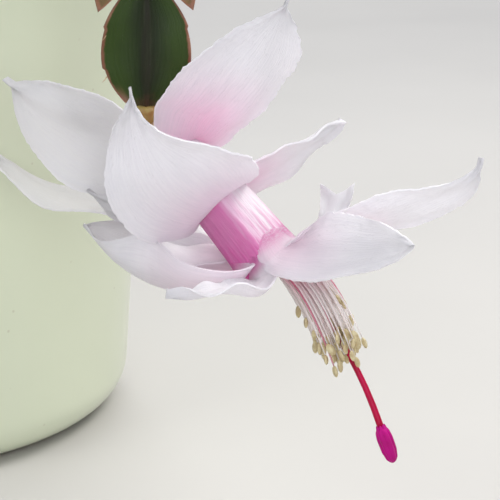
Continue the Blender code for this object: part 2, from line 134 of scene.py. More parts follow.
class Wire:
    """What comes out of a shader node, and the ways to go on from it."""

    def __init__(self, socket):
        self.socket, self.tree = socket, socket.id_data

    def math(self, operation, *others):
        return add_node(self.tree, "Math", (self, *others), operation=operation)

    def __add__(self, other):
        return self.math("ADD", other)

    def __mul__(self, other):
        return self.math("MULTIPLY", other)

    def __rsub__(self, other):
        return add_node(self.tree, "Math", (other, self), operation="SUBTRACT")

    def __abs__(self):
        return self.math("ABSOLUTE")

    def ease(self, low, high, to_low=0.0, to_high=1.0):
        return add_node(self.tree, "MapRange", (self, low, high, to_low, to_high),
                        interpolation_type="SMOOTHSTEP")

    def between(self, first, second):
        return add_node(self.tree, "Mix", {0: self, 6: first, 7: second}, output=2,
                        data_type="RGBA")

    def parts(self):
        """The three numbers of a vector."""
        first = add_node(self.tree, "SeparateXYZ", (self,))
        return [Wire(socket) for socket in first.socket.node.outputs]

    def stretched(self, *sizes):
        return add_node(self.tree, "VectorMath", (self, sizes), operation="MULTIPLY")

    def noise(self, scale, detail=2.0, roughness=0.5):
        return add_node(self.tree, "TexNoise", {"Vector": self, "Scale": scale,
                                                "Detail": detail, "Roughness": roughness})

    def cells(self, scale):
        """The distance from the middle of the nearest cell."""
        return add_node(self.tree, "TexVoronoi", {"Vector": self, "Scale": scale})


def coats(colour, *layers):
    """Lays coats over a colour, each of them where its mask is above 0."""
    for mask, coat in layers:
        colour = mask.between(colour, coat)
    return colour


# %% Materials and node groups
class Finish:
    """A new material. Values that are the same all over are set on its shader here."""

    def __init__(self, name, roughness, **plain):
        self.look = bpy.data.materials.new(name)
        self.look.use_nodes = True
        self.tree = self.look.node_tree
        self.shader = self.tree.nodes["Principled BSDF"]
        for socket, value in dict(plain, Roughness=roughness).items():
            self.set(socket.replace("_", " "), value)
        self.spot = add_node(self.tree, "TexCoord", output=3)

    def set(self, socket, value):
        plug(self.shader.inputs[socket], value)

    def mark(self, title="place"):
        return add_node(self.tree, "Attribute", output=1, attribute_name=title)

    def done(self, colour, roughness=None, relief=None, depth=0, light=0, glow=None):
        """Joins the wires to the shader. A share of the light, tinted by the glow, may come
        through from behind."""
        self.set("Base Color", colour)
        if roughness:
            self.set("Roughness", roughness)
        if relief:
            self.set("Normal", add_node(self.tree, "Bump", {"Height": relief,
                                                            "Distance": depth * MM}))
        if light:
            through = add_node(self.tree, "BsdfTranslucent", {"Color": glow or colour})
            mixed = add_node(self.tree, "MixShader", (light, Wire(self.shader.outputs[0]), through))
            plug(self.tree.nodes["Material Output"].inputs["Surface"], mixed)
        print("finish:", self.look.name, "with", len(self.tree.nodes), "nodes")
        return self.look


def node_group(name, inputs, outputs, make):
    """Builds a group once. make gets a wire from every input and returns one for every output.
    What comes back places the group in the tree of its first value."""
    group = bpy.data.node_groups.new(name, "ShaderNodeTree")
    for way, sockets in (("INPUT", inputs), ("OUTPUT", outputs)):
        for title, kind in sockets.items():
            group.interface.new_socket(title, in_out=way, socket_type="NodeSocket" + kind)
    start, end = group.nodes.new("NodeGroupInput"), group.nodes.new("NodeGroupOutput")
    for title, wire in zip(outputs, make(*(Wire(start.outputs[title]) for title in inputs))):
        plug(end.inputs[title], wire)

    def placed(*values):
        node = values[0].tree.nodes.new("ShaderNodeGroup")
        node.node_tree = group
        for title, value in zip(inputs, values):
            plug(node.inputs[title], value)
        wires = [Wire(node.outputs[title]) for title in outputs]
        return wires if len(wires) > 1 else wires[0]

    print("group:", name, "with", len(group.nodes), "nodes")
    return placed


# %% [markdown]
# ## Shared effects
# Four effects come back on many pieces, so each is a node group. *Cloudy* gives soft patches,
# as in any skin or glaze. *Grain* is the fine cell pattern of plant skin, as a height.
# *Veins* draws fine lines along a petal, which fan out with it because they follow its own
# across-and-along places. *Streaks* are short strokes along the same way.


# %% Node groups for plant skin and glaze
def cloudy_mask(spot, scale, contrast):
    return [spot.noise(scale, 4.0, 0.55).ease(0.5 - contrast, contrast + 0.5)]


def grain_height(spot, scale):
    return [spot.cells(scale) * 0.6 + spot.noise(scale) * 0.4]


def vein_mask(place, count, waver):
    turns = place.parts()[0] * count + place.stretched(2.0, 5.0, 3.0).noise(1.0) * waver
    return [abs((turns * pi).math("SINE")).ease(0.35, 0.0)]


def streak_mask(place, fineness):
    return [place.stretched(1.0, 0.16, 1.0).noise(fineness, 3.0, 0.6).ease(0.35, 0.65)]


NUMBER, VECTOR = "Float", "Vector"
MASK = dict(Mask=NUMBER)
cloudy = node_group("Cloudy", dict(Vector=VECTOR, Scale=NUMBER, Contrast=NUMBER), MASK, cloudy_mask)
grain = node_group("Grain", dict(Vector=VECTOR, Scale=NUMBER), dict(Height=NUMBER), grain_height)
veins = node_group("Veins", dict(Place=VECTOR, Count=NUMBER, Waver=NUMBER), MASK, vein_mask)
streaks = node_group("Streaks", dict(Place=VECTOR, Fineness=NUMBER), MASK, streak_mask)

# %% [markdown]
# ## Floor
# A plain pale tabletop. Even a plain surface has faint clouds in it and is a little uneven in
# its gloss, and that keeps it from looking like paper cut-out.

# %% Floor
bpy.ops.object.select_all(action="DESELECT")
bpy.ops.mesh.primitive_plane_add(size=6, location=(0, 0, -0.2 * MM))
floor = bpy.context.object
floor.name = "Floor"
finish = Finish("Pale tabletop", 0.6)
patch = cloudy(finish.spot, 9.0, 0.3)
floor.data.materials.append(finish.done(
    patch.between((0.50, 0.485, 0.46), (0.53, 0.515, 0.49)), patch.ease(0, 1, 0.55, 0.65)))

# %% [markdown]
# ## Helpers for pieces
# Leaves, petals and tubes start as a flat grid, like a sheet of modelling paste. Every point
# of it has a place across (-1 to 1) and along (0 to 1), and a small function says where that
# point goes. A *rolled* sheet meets itself, so its doubles are merged, its ends are filled and
# its faces are turned outwards. The place is kept on the points as an attribute, because the
# finishes follow it. A petal keeps a second one, its *seat* on the flower's tube.


# %% Sheets
def started(add, **sizes):
    """Adds a primitive. An operator acts on all that is selected, so nothing else may be."""
    bpy.ops.object.select_all(action="DESELECT")
    add(**sizes)
    return bpy.context.object


def close_up(obj):
    """Merges doubles, fills open ends and turns the faces outwards."""
    bpy.context.view_layer.objects.active = obj
    bpy.ops.object.mode_set(mode="EDIT")
    bpy.ops.mesh.select_all(action="SELECT")
    bpy.ops.mesh.remove_doubles(threshold=0.004 * MM)
    bpy.ops.mesh.fill_holes(sides=0)
    bpy.ops.mesh.select_all(action="SELECT")
    bpy.ops.mesh.normals_make_consistent(inside=False)
    bpy.ops.object.mode_set(mode="OBJECT")


def sheet(name, columns, rows, place, rolled=False):
    """A grid whose points go where place(across, along) puts them, with their marks."""
    obj = started(bpy.ops.mesh.primitive_grid_add, x_subdivisions=columns,
                  y_subdivisions=rows, size=2)
    obj.name = obj.data.name = name
    flat = np.empty(len(obj.data.vertices) * 3)
    obj.data.vertices.foreach_get("co", flat)
    flat = flat.reshape(-1, 3)
    points, *marks = place(flat[:, 0], (flat[:, 1] + 1) / 2)
    obj.data.vertices.foreach_set("co", points.ravel())
    for title, mark in zip(("place", "seat"), marks):
        kept = obj.data.attributes.new(title, "FLOAT_VECTOR", "POINT")
        mark = np.stack(np.broadcast_arrays(*mark), -1)
        kept.data.foreach_set("vector", mark.astype(np.float32).ravel())
    if rolled:
        close_up(obj)
    return obj


def thickened(obj, thickness):
    skin = obj.modifiers.new("Thickness", "SOLIDIFY")
    skin.thickness, skin.offset = thickness * MM, 0
    bpy.context.view_layer.objects.active = obj
    bpy.ops.object.modifier_apply(modifier=skin.name)
    return obj


# %% Copies, joints and finished pieces
def copied(model, place):
    """A copy with its own mesh, put in its place by a matrix."""
    copy = model.copy()
    copy.data = model.data.copy()
    bpy.context.scene.collection.objects.link(copy)
    copy.matrix_world = place
    return copy


def stood(spot, way):
    """Stands an upright model on a spot, pointing in a direction."""
    turn = Vector(way).to_track_quat("Z", "X").to_matrix().to_4x4()
    return Matrix.Translation(Vector(spot)) @ turn


def joined(name, pieces):
    """Joins pieces into one, with its place in its mesh and smooth faces."""
    bpy.ops.object.select_all(action="DESELECT")
    for piece in pieces:
        piece.select_set(True)
    bpy.context.view_layer.objects.active = pieces[0]
    if len(pieces) > 1:
        bpy.ops.object.join()
    bpy.ops.object.transform_apply(location=True, rotation=True, scale=True)
    pieces[0].name = pieces[0].data.name = name
    bpy.ops.object.shade_smooth()
    return pieces[0]


def wear(obj, look):
    """Gives a piece its finish in place of what it had."""
    obj.data.materials.clear()
    obj.data.materials.append(look)
    return obj


def settle(obj, node):
    """The finished piece stands for a solid, and goes wherever the plant goes."""
    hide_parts(node)
    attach(obj, "root")
    print(obj.name, "stands for", node, "with", len(obj.data.polygons), "faces")


# %% Directions and tables
def unit(v):
    return v / np.linalg.norm(v, axis=-1, keepdims=True)


def turned(angle, first, second):
    """Directions that are turned by angles from the first one towards the second."""
    angle = np.asarray(angle)[..., None]
    return np.cos(angle) * first + np.sin(angle) * second


def ramp(v, start, end):
    """The share of the way from a start to an end, from 0 to 1."""
    return np.clip((v - start) / (end - start), 0, 1)


def read(table, at, where):
    """Reads a table of points, given at the lengths at, at other lengths."""
    return np.stack([np.interp(where, at, table[:, k]) for k in range(3)], -1)


def lengths_along(points):
    """How far along a line each of its points lies."""
    return np.concatenate([[0], np.cumsum(np.linalg.norm(np.diff(points, axis=0), axis=1))])


def wander(x, y, z):
    """Smooth noise at many places, for the unevenness of grown things."""
    return np.array([noise.noise(Vector(place)) for place in np.broadcast(x, y, z)])


# %% [markdown]
# ## Pot
# The pot is a thick-walled, slightly flared cylinder with a well-rounded foot, as thrown and
# then glazed. It starts as a cylinder: the top is spread, inset and pushed down to make the
# wall, and its edges are rounded. Under the foot there is a shallow recess, so that the pot
# stands on a ring.

# %% Pot sizes in millimetres
POT_HEIGHT, POT_FLOOR, POT_WALL, RECESS = 110, 8, 4.5, 1.2
FOOT_RADIUS, RIM_RADIUS, FLOOR_RADIUS = 49.8, 57.5, 45.9
FOOT_ROUND, RIM_ROUND, FLOOR_ROUND, FOOT_RING = 8.5, 2.2, 5, 5


# %% Pot shape
def pick(obj, kind, test):
    """Selects only the edges or faces of a piece in edit mode that pass the test."""
    bpy.ops.mesh.select_mode(type=kind)
    bpy.ops.mesh.select_all(action="DESELECT")
    cage = bmesh.from_edit_mesh(obj.data)
    for item in cage.edges if kind == "EDGE" else cage.faces:
        item.select_set(test(item))
    bmesh.update_edit_mesh(obj.data)


def round_ring(obj, height, inner, outer, size, segments):
    """Rounds the level edges at a height, between two radii."""
    def on_ring(edge):
        first, second = (v.co / MM for v in edge.verts)
        level = abs(first.z - second.z) < 0.01 and abs(first.z - height) < 1
        return level and inner < ((first + second) / 2).xy.length < outer

    pick(obj, "EDGE", on_ring)
    bpy.ops.mesh.bevel(offset=size * MM, segments=segments, affect="EDGES")


def pick_face(obj, normal_z, height):
    """Selects only the flat face at a height that looks up (1) or down (-1)."""
    pick(obj, "FACE", lambda face: face.normal.z * normal_z > 0.9
         and abs(face.calc_center_median().z / MM - height) < 0.1)


def widen(part):
    bpy.ops.transform.resize(value=(part, part, 1))


def push(z):
    bpy.ops.mesh.extrude_region_move(TRANSFORM_OT_translate={"value": (0, 0, z * MM)})


pot = started(bpy.ops.mesh.primitive_cylinder_add, vertices=144, radius=FOOT_RADIUS * MM,
              depth=POT_HEIGHT * MM, location=(0, 0, POT_HEIGHT / 2 * MM))
bpy.ops.object.transform_apply(location=True)
bpy.ops.object.mode_set(mode="EDIT")
pick_face(pot, 1, POT_HEIGHT)
widen(RIM_RADIUS / FOOT_RADIUS)
bpy.ops.mesh.inset(thickness=POT_WALL * MM)
push(POT_FLOOR - POT_HEIGHT)
widen(FLOOR_RADIUS / (RIM_RADIUS - POT_WALL))
round_ring(pot, 0, 0, RIM_RADIUS, FOOT_ROUND, 10)
round_ring(pot, POT_HEIGHT, RIM_RADIUS - 6, RIM_RADIUS + 1, RIM_ROUND, 4)
round_ring(pot, POT_FLOOR, 0, FLOOR_RADIUS + 1, FLOOR_ROUND, 4)
pick_face(pot, -1, 0)
bpy.ops.mesh.inset(thickness=FOOT_RING * MM)
push(RECESS)
bpy.ops.object.mode_set(mode="OBJECT")
pot = joined("pot_glazed", [pot])
bpy.ops.object.shade_smooth_by_angle(angle=radians(40))
print("pot points:", len(pot.data.vertices), "rim radius in mm:",
      round(max(v.co.xy.length for v in pot.data.vertices) / MM, 1))

# %% [markdown]
# Celadon is a pale grey-green glaze. It lies in soft clouds, runs a little on the wall, breaks
# to the warm clay where it is thin, at the rim, and stops above the ring that the pot stands
# on. A few iron specks come through, faintly. Its gloss changes only a little, because a wide
# change draws hard-edged patches. Two bumps give it the slow waviness of a poured glaze and a
# very fine peel.

# %% Celadon glaze
finish = Finish("Celadon glaze", 0.3, Coat_Roughness=0.12)
spot = finish.spot
height = spot.parts()[2]
clouds = cloudy(spot, 13.0, 0.4)
runs = cloudy(spot.stretched(1.0, 1.0, 0.12), 90.0, 0.45)
few = cloudy(spot, 75.0, 0.06)
thin = (height + runs * (0.5 * MM)).ease(108.9 * MM, 110.2 * MM)
bare = (height + clouds * (0.3 * MM)).ease(0.75 * MM, 0.45 * MM)
glaze = coats(clouds.between((0.625, 0.675, 0.50), (0.66, 0.705, 0.535)),
              (runs * 0.18, (0.59, 0.64, 0.455)),
              (spot.cells(260.0).ease(0.10, 0.04) * (few * 0.25), (0.30, 0.22, 0.12)),
              (thin * 0.55, (0.66, 0.56, 0.38)),
              (bare, (0.60, 0.49, 0.35)))
finish.set("Coat Weight", bare.ease(0, 1, 0.5, 0.0))
look = finish.done(glaze, clouds.ease(0, 1, 0.33, 0.39) + bare * 0.5,
                   spot.noise(55.0, 1.0) + grain(spot, 1400.0) * 0.02, 0.35)
settle(wear(pot, look), "pot")

# %% [markdown]
# ## Soil
# Peaty potting mix settles a finger's width below the rim. Its body is a rolled sheet: it runs
# from the middle of the bottom, up the pot's wall and back to the middle of the top, which is
# heaped a little round every stem. Over it lie separate crumbs, bark chips and some white
# perlite, because a bumpy surface alone has no loose pieces to catch the light.


# %% Where the stems leave the soil
def polar(radius, azimuth):
    return radius * cos(radians(azimuth)), radius * sin(radians(azimuth))


SOIL_TOP, WOOD_DEPTH, WOOD_FOOT = 98 * MM, 8 * MM, 6 * MM
FIRST_ROOT = (13.0, -13.9)
OUTER = [(28, -47 + 45 * k) for k in range(1, 8)]      # (radius in mm, azimuth)
INNER = [(14, -11 + 72 * k) for k in range(5)]
MIDDLE = (2, 120)
ROOTS = [FIRST_ROOT] + [polar(*where) for where in (*OUTER, *INNER, MIDDLE)]
print("stems in the soil:", len(ROOTS))


# %% Soil body
def soil_height(x, y):
    """Height of the soil's surface over its flat level, heaped round the stems."""
    spot = Vector((x, y, 0))
    lumps = 1.3 * noise.noise(spot * 70) + 0.8 * noise.noise(spot * 210 + Vector((3, 1, 7)))
    heap = sum(1.4 * np.exp(-((x / MM - a) ** 2 + (y / MM - b) ** 2) / 40) for a, b in ROOTS)
    return (lumps + min(heap, 2.2) - 0.6) * MM


def soil_place(across, along):
    stations = (0, 0.04, 0.08, 0.30, 0.34, 1)
    radius = np.interp(along, stations, (0, 40, 45.7, 51.2, 50.6, 0)) * MM
    height = np.interp(along, stations, (8.3, 8.3, 12, 96.2, 97.4, 98)) * MM
    x, y = radius * np.cos(across * pi), radius * np.sin(across * pi)
    rise = np.array([soil_height(a, b) for a, b in zip(x, y)])
    height += np.where(along > 0.32, rise, 0)
    return np.stack([x, y, height], -1), (across, along, 0)


soil = sheet("soil_bed", 150, 70, soil_place, rolled=True)
bpy.ops.object.shade_smooth()
print("soil points:", len(soil.data.vertices))

# %% Potting mix finish
finish = Finish("Peaty mix", 0.95, Specular_IOR_Level=0.25)
damp = cloudy(finish.spot, 60.0, 0.2)
earth = coats(cloudy(finish.spot, 420.0, 0.18).between((0.016, 0.009, 0.005), (0.085, 0.05, 0.028)),
              (damp * 0.5, (0.02, 0.012, 0.008)))
look = finish.done(earth, damp.ease(0, 1, 0.97, 0.8), finish.spot.noise(900.0, 6.0, 0.7), 0.8)
settle(wear(soil, look), "soil")


# %% Loose pieces on the soil
SPREAD = 49.3                  # how far from the middle they lie, in millimetres
STEM_SPACE = 13                # the square of the space that they leave round a stem


def lump(size, squash, seed, finer=0):
    """One crumb: a small ball with its points moved in and out."""
    obj = started(bpy.ops.mesh.primitive_ico_sphere_add, subdivisions=1 + finer,
                  radius=size * MM)
    for v in obj.data.vertices:
        dent = 1 + 0.38 * noise.noise(v.co / (size * MM) * 1.4 + Vector((seed, 0, 0)))
        v.co = Vector([side * part for side, part in zip(v.co, squash)]) * dent
    return obj


def scatter(name, models, number, sizes, seed):
    """Copies of the models, turned and laid on the soil. Each has a shade of its own."""
    draw = random.Random(seed)
    laid = []
    while len(laid) < number:
        radius, angle = SPREAD * MM * sqrt(draw.random()), draw.uniform(0, 2 * pi)
        x, y = radius * cos(angle), radius * sin(angle)
        if min((x / MM - a) ** 2 + (y / MM - b) ** 2 for a, b in ROOTS) < STEM_SPACE:
            continue
        model, size = draw.choice(models), draw.uniform(*sizes)
        spin = Matrix.Rotation(draw.uniform(0, 2 * pi), 4, "Z")
        tilt = Matrix.Rotation(draw.uniform(-0.6, 0.6), 4, "X")
        spot = (x, y, SOIL_TOP + soil_height(x, y) + 0.25 * MM * size)
        copy = copied(model, Matrix.Translation(spot) @ spin @ tilt @ Matrix.Scale(size, 4))
        shade = copy.data.attributes.new("place", "FLOAT_VECTOR", "POINT")
        value = (draw.random(), draw.random(), draw.random())
        shade.data.foreach_set("vector", value * len(copy.data.vertices))
        laid.append(copy)
    for model in models:
        bpy.data.objects.remove(model)
    return joined(name, laid)


crumb, chip, grit = (lump(1.1, (1, 0.8, 0.7), 3), lump(1.3, (1.7, 0.7, 0.35), 8),
                     lump(0.8, (1, 0.9, 0.9), 14))
crumbs = scatter("soil_crumbs", [crumb, chip, grit], 900, (0.6, 1.5), 31)
perlite = scatter("soil_perlite", [lump(1.2, (1, 0.9, 0.8), 60, finer=1)], 42, (0.6, 1.2), 77)

# %% Crumb and perlite finishes
finish = Finish("Bark and peat crumbs", 0.9, Specular_IOR_Level=0.3)
fibre = cloudy(finish.spot, 1100.0, 0.2)
shade = finish.mark().parts()[0].ease(0.3, 1.0)
peat = coats(shade.between((0.022, 0.012, 0.007), (0.12, 0.065, 0.032)),
             (fibre * 0.6, (0.05, 0.028, 0.015)))
wear(crumbs, finish.done(peat, fibre.ease(0, 1, 0.95, 0.8), fibre, 0.25))

finish = Finish("Perlite", 0.8)
dust = cloudy(finish.spot, 500.0, 0.25)
pits = finish.spot.cells(2200.0)
wear(perlite, finish.done(dust.between((0.80, 0.78, 0.72), (0.55, 0.49, 0.41)), None, pits, 0.2))
for obj in (crumbs, perlite):
    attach(obj, "root")
    print(obj.name, "with", len(obj.data.polygons), "faces")

# %% [markdown]
# ## Stem chains
# A Christmas cactus has no leaves. Its flat green segments are its stems, joined end to end in
# chains, which rise, arch over the rim and hang. Each chain follows one spine. The spine's
# pitch is its angle from upright: small at the soil, more than 90 degrees once it hangs. The
# flat faces can be twisted about the spine. These numbers place the spines.


# %% Spine of a chain
class Spine:
    """segments: (length, width, pitch) each. azimuth: the way it leans. A side branch starts
    at its parent's pitch, and has no woody foot."""

    def __init__(self, root, azimuth, segments, drift=0.0, twist=0.0, branch_pitch=None):
        self.segments = [(length * MM, width * MM, pitch) for length, width, pitch in segments]
        self.woody = branch_pitch is None
        lengths, _, pitches = zip(*self.segments)
        self.starts = WOOD_FOOT * self.woody + np.cumsum([0.0, *lengths])
        self.total = self.starts[-1]
        centres = (self.starts[:-1] + self.starts[1:]) / 2
        foot = ([-WOOD_DEPTH, 1 * MM], [0.0, 0.0]) if self.woody else ([0.0], [branch_pitch])
        self.s = np.arange(foot[0][0], self.total + 6 * MM, 0.5 * MM)
        self.pitch = np.interp(self.s, [*foot[0], *centres], [*foot[1], *pitches])
        part = np.clip(self.s / self.total, 0, 1)
        self.heading = azimuth + drift * part
        east, north, up = np.eye(3)
        flat = turned(np.radians(self.heading), east, north)
        self.along = turned(np.radians(self.pitch), up, flat)
        upper = turned(np.radians(self.pitch), -flat, up)
        self.across = turned(np.radians(twist) * part ** 2, np.cross(self.along, upper), upper)
        self.face = np.cross(self.across, self.along)
        steps = np.vstack([np.zeros(3), self.along[:-1] * 0.5 * MM])
        self.centre = np.cumsum(steps, axis=0) + root

    def at(self, s):
        """Points, directions along, directions across and face normals at spine lengths."""
        tables = self.centre, self.along, self.across, self.face
        return [read(table, self.s, s) for table in tables]

    def branch(self, joint, side, segments):
        s = self.starts[joint] - 2.5 * MM
        point, _, across, _ = self.at(s)
        heading, pitch = (np.interp(s, self.s, table) for table in (self.heading, self.pitch))
        return Spine(point + side * 1.6 * MM * across, heading - side * 34, segments,
                     twist=-12 * side, branch_pitch=pitch)


# %% All the spines
def planted(x, y):
    return np.array((x * MM, y * MM, SOIL_TOP - WOOD_DEPTH))


def sprout(where, lengths, first, end, draw):
    """A chain at (radius, azimuth) whose pitch goes from first to end, with small chances."""
    azimuth, steps = where[1] + draw.uniform(-4, 4), len(lengths) - 1
    segments = [
        (length * draw.uniform(0.93, 1.07), width * draw.uniform(0.95, 1.05),
         first + (end - first) * (i / steps) ** 1.1 + draw.uniform(-3, 3))
        for i, (length, width) in enumerate(zip(lengths, (14, 18, 20, 20.5, 18.5)))
    ]
    return Spine(planted(*polar(*where)), azimuth, segments,
                 drift=draw.uniform(-10, 10), twist=draw.uniform(-30, 30))


MAIN_CHAIN = ((26, 13, 10), (25.5, 17, 43), (27, 18.5, 96), (27, 19, 145), (27, 20, 177),
              (21, 15, 181))
spines, draw = [Spine(planted(*FIRST_ROOT), -47, MAIN_CHAIN, twist=-43)], random.Random(11)
for where in OUTER:
    lean = 0.5 - 0.5 * cos(radians(where[1] - 20))
    lengths = (27, 29, 29, 28, 25) if lean > 0.1 else (27, 29, 29, 28)
    spines.append(sprout(where, lengths, 16, 102 + 68 * lean, draw))
for k, where in enumerate(INNER):
    spines.append(sprout(where, (25, 27, 27, 24), 9, 66 + 8 * (k % 3), draw))
spines.append(sprout(MIDDLE, (26, 27, 25), 4, 22, draw))
BRANCHES = {3: (1, 1), 5: (2, -1), 8: (2, 1)}     # stem: (joint, side)
print("chains:", len(spines), "segments:", sum(len(s.segments) for s in spines))

# %% [markdown]
# ## Shape of one segment
# The margin runs out from the narrow joint to a tooth, steps in, runs on to a second tooth, and
# ends in a claw that reaches past the next joint. Teeth point forwards because the margin's
# stations run ahead of the midrib's. The table gives the corners, and between them the margin
# swells a little, as a scalloped edge does. A cross-section has a thick midrib, a thin blade
# and a soft rim.

# %% Corners of the margin
# (midrib station, margin station, half width, swell before it, rows before it)
CORNERS = (
    (0.00, 0.00, 0.24, 0, 0), (0.13, 0.13, 0.52, 0.00, 4), (0.28, 0.37, 0.93, 0.035, 7),
    (0.38, 0.41, 0.88, 0.00, 3), (0.56, 0.72, 1.00, 0.03, 7), (0.68, 0.76, 0.92, 0.00, 3),
    (0.82, 1.18, 0.80, 0.04, 8), (0.95, 0.985, 0.34, -0.06, 6), (1.00, 1.00, 0.24, 0.00, 2),
)
LAST_CORNERS = (
    (0.00, 0.00, 0.24, 0, 0), (0.13, 0.13, 0.60, 0.04, 5), (0.28, 0.35, 0.95, 0.03, 7),
    (0.36, 0.375, 0.93, 0.00, 2), (0.60, 0.69, 0.99, 0.05, 8), (0.66, 0.705, 0.93, 0.00, 3),
    (0.86, 0.97, 0.50, 0.06, 8), (0.97, 0.985, 0.36, 0.00, 3), (1.00, 1.00, 0.30, 0.00, 2),
)
PLACES = np.array((1, 0.985, 0.95, 0.86, 0.70, 0.50, 0.30, 0.14, 0))
ACROSS = np.concatenate([PLACES, -PLACES[-2::-1], -PLACES[1:], PLACES[-2::-1]])
COLUMNS = len(ACROSS) - 1
SIDE = np.sign(COLUMNS / 2 - np.arange(COLUMNS + 1))     # 1 upper face, 0 edge, -1 lower face
WOOD_RADIUS = 2.6


def margin_rows(corners):
    """Rows of (midrib station, margin station, half width) along one segment."""
    rows = [corners[0][:3]]
    for before, after in zip(corners, corners[1:]):
        swell, count = after[3:]
        for i in range(1, count + 1):
            t = i / count
            rib, edge, half = (a + (b - a) * t for a, b in zip(before[:3], after[:3]))
            rows.append((rib, edge, half + swell * 4 * t * (1 - t)))
    return rows


print("rows in a segment:", len(margin_rows(CORNERS)), "points round it:", COLUMNS)


# %% One chain as a rolled sheet
def chain_rows(spine):
    """(midrib length, margin length, half width, segment place, wood) for every row."""
    rows = [(s * MM, s * MM, WOOD_RADIUS * MM, 0.0, 1.0) for s in (-8, -4, 0, 1.5) if spine.woody]
    for k, (start, (length, width, _)) in enumerate(zip(spine.starts, spine.segments)):
        last = k == len(spine.segments) - 1
        for rib, edge, half in margin_rows(LAST_CORNERS if last else CORNERS)[k > 0:]:
            rows.append((start + rib * length, start + edge * length, half * width / 2, k + rib, 0))
    return np.array(rows)


def blade(name, spine, seed):
    rows = chain_rows(spine)

    def place(across, along):
        rib, edge, half, station, wood = rows[np.rint(along * (len(rows) - 1)).astype(int)].T
        column = np.rint((across + 1) / 2 * COLUMNS).astype(int)
        x, side, green = ACROSS[column], SIDE[column], wood < 0.5
        out, inside = np.abs(x), station % 1.0
        centre, _, sideways, face = spine.at(rib + (edge - rib) * out ** 1.5)
        rim = np.sqrt(np.clip(1 - ((out - 0.94) / 0.06).clip(0) ** 2, 0, 1))
        joint = np.exp(-((inside - np.round(inside)) / 0.035) ** 2) * green
        body = 0.5 + 0.30 * (1 - out) + 0.72 * np.exp(-(x / 0.15) ** 2)
        body += 0.10 * np.exp(-((out - 0.95) / 0.05) ** 2) + 0.22 * joint
        waves = wander(x * 2.1 + seed, station * 3.3, seed)
        lift = (0.45 * (0.3 - x ** 2) + 0.35 * waves) * (1 - joint)
        thick = np.where(green, side * rim * body + lift, side * np.sqrt(1 - x ** 2) * WOOD_RADIUS)
        points = centre + sideways * (half * x)[:, None] + face * (thick * MM)[:, None]
        return points, (x, station, wood)

    return sheet(name, COLUMNS, len(rows) - 1, place, rolled=True)


print("rows in the main chain:", len(chain_rows(spines[0])))

# %% [markdown]
# ## Bristles
# In every notch, and at the end of every segment, there is an areole: a tiny cushion with a few
# tan bristles. One bristle is a thin cone, bent a little, and each areole gets copies of it.

# %% Bristles
# (place along a segment, place across its half width, bristles there)
NOTCHES = [(at, side * x, 2) for at, x in ((0.405, 0.875), (0.755, 0.885)) for side in (-1, 1)]
TIPS = [(0.985, x, 1) for x in (-0.26, -0.12, 0.08, 0.24)]


def bristle_model():
    obj = started(bpy.ops.mesh.primitive_cone_add, vertices=5, radius1=0.10 * MM,
                  radius2=0.015 * MM, depth=1 * MM, location=(0, 0, 0.5 * MM))
    bpy.ops.object.transform_apply(location=True)
    bpy.ops.object.mode_set(mode="EDIT")
    for cut in (0.33, 0.66):
        bpy.ops.mesh.select_all(action="SELECT")
        bpy.ops.mesh.bisect(plane_co=(0, 0, cut * MM), plane_no=(0, 0, 1))
    bpy.ops.object.mode_set(mode="OBJECT")
    for v in obj.data.vertices:
        v.co.x += 0.28 * v.co.z ** 2 / MM
    return obj


def bristles(spine, draw):
    """Bristle copies in the notches and at the ends of a chain's segments."""
    model, made = bristle_model(), []
    for start, (length, width, _) in zip(spine.starts, spine.segments):
        for spot, x, number in NOTCHES + TIPS:
            point, along, sideways, face = spine.at(start + spot * length)
            for _ in range(number):
                reach = draw.uniform(0.8, 1.8) if number == 2 else draw.uniform(1.6, 3.2)
                way = unit(along * draw.uniform(0.7, 1.2) + sideways * np.sign(x) * 0.55
                           + face * draw.uniform(-0.5, 0.5))
                lift = draw.choice((-1, 1)) * (0.1 if number == 2 else 0.7) * MM
                foot = stood(point + sideways * x * width / 2 + face * lift, way)
                made.append(copied(model, foot @ Matrix.Diagonal((1, 1, reach, 1))))
    bpy.data.objects.remove(model)
    return made


# %% [markdown]
# ## Segment finish
# The skin is dark, waxy green. Towards the margin its colour is painted yellower and lighter,
# as light that comes through the thin blade makes it: a painted glow. The thick midrib stays
# dark and brownish. The margin is a thin red-brown to tan line, which also colours the claws,
# and joints are corky. The waxy bloom lies in clouds, with faint pale dots. Mixing in a
# translucent shader lets light through.

# %% Segment finish
finish = Finish("Cactus segment", 0.4, Specular_IOR_Level=0.3)
spot, mark = finish.spot, finish.mark()
across, along, wood = mark.parts()
off_rib, inside = abs(across), along.math("FRACT")
clouds, small, fibres = cloudy(spot, 170.0, 0.25), cloudy(spot, 700.0, 0.25), streaks(mark, 14.0)
tip = (inside + small * 0.08).ease(0.90, 1.0)
cork = (tip * 0.7).math("MAXIMUM", inside.ease(0.05, 0.0))
rim = (off_rib + small * 0.03).ease(0.925, 0.975)
claw = inside.ease(0.74, 0.88) * off_rib.ease(0.68, 0.92) * inside.ease(0.97, 0.93)
dots = spot.cells(1300.0).ease(0.16, 0.06) * (small * 0.22)
# Painted glow: lighter, yellower green towards the margin, as light through the thin blade makes it.
painted_glow_to_margin = (off_rib + clouds * 0.16).ease(0.12, 0.85)
green = coats(painted_glow_to_margin.between((0.010, 0.018, 0.005), (0.036, 0.072, 0.008)),
              (off_rib.ease(0.22, 0.02), (0.016, 0.014, 0.007)),
              (fibres * 0.25, (0.035, 0.06, 0.015)),
              (cork * 0.75, (0.12, 0.055, 0.025)),
              (rim, clouds.between((0.20, 0.055, 0.03), (0.38, 0.20, 0.13))),
              (claw * 0.75, small.between((0.52, 0.27, 0.13), (0.50, 0.24, 0.20))),
              (dots, (0.20, 0.24, 0.12)),
              (wood, small.between((0.14, 0.09, 0.05), (0.06, 0.035, 0.02))))
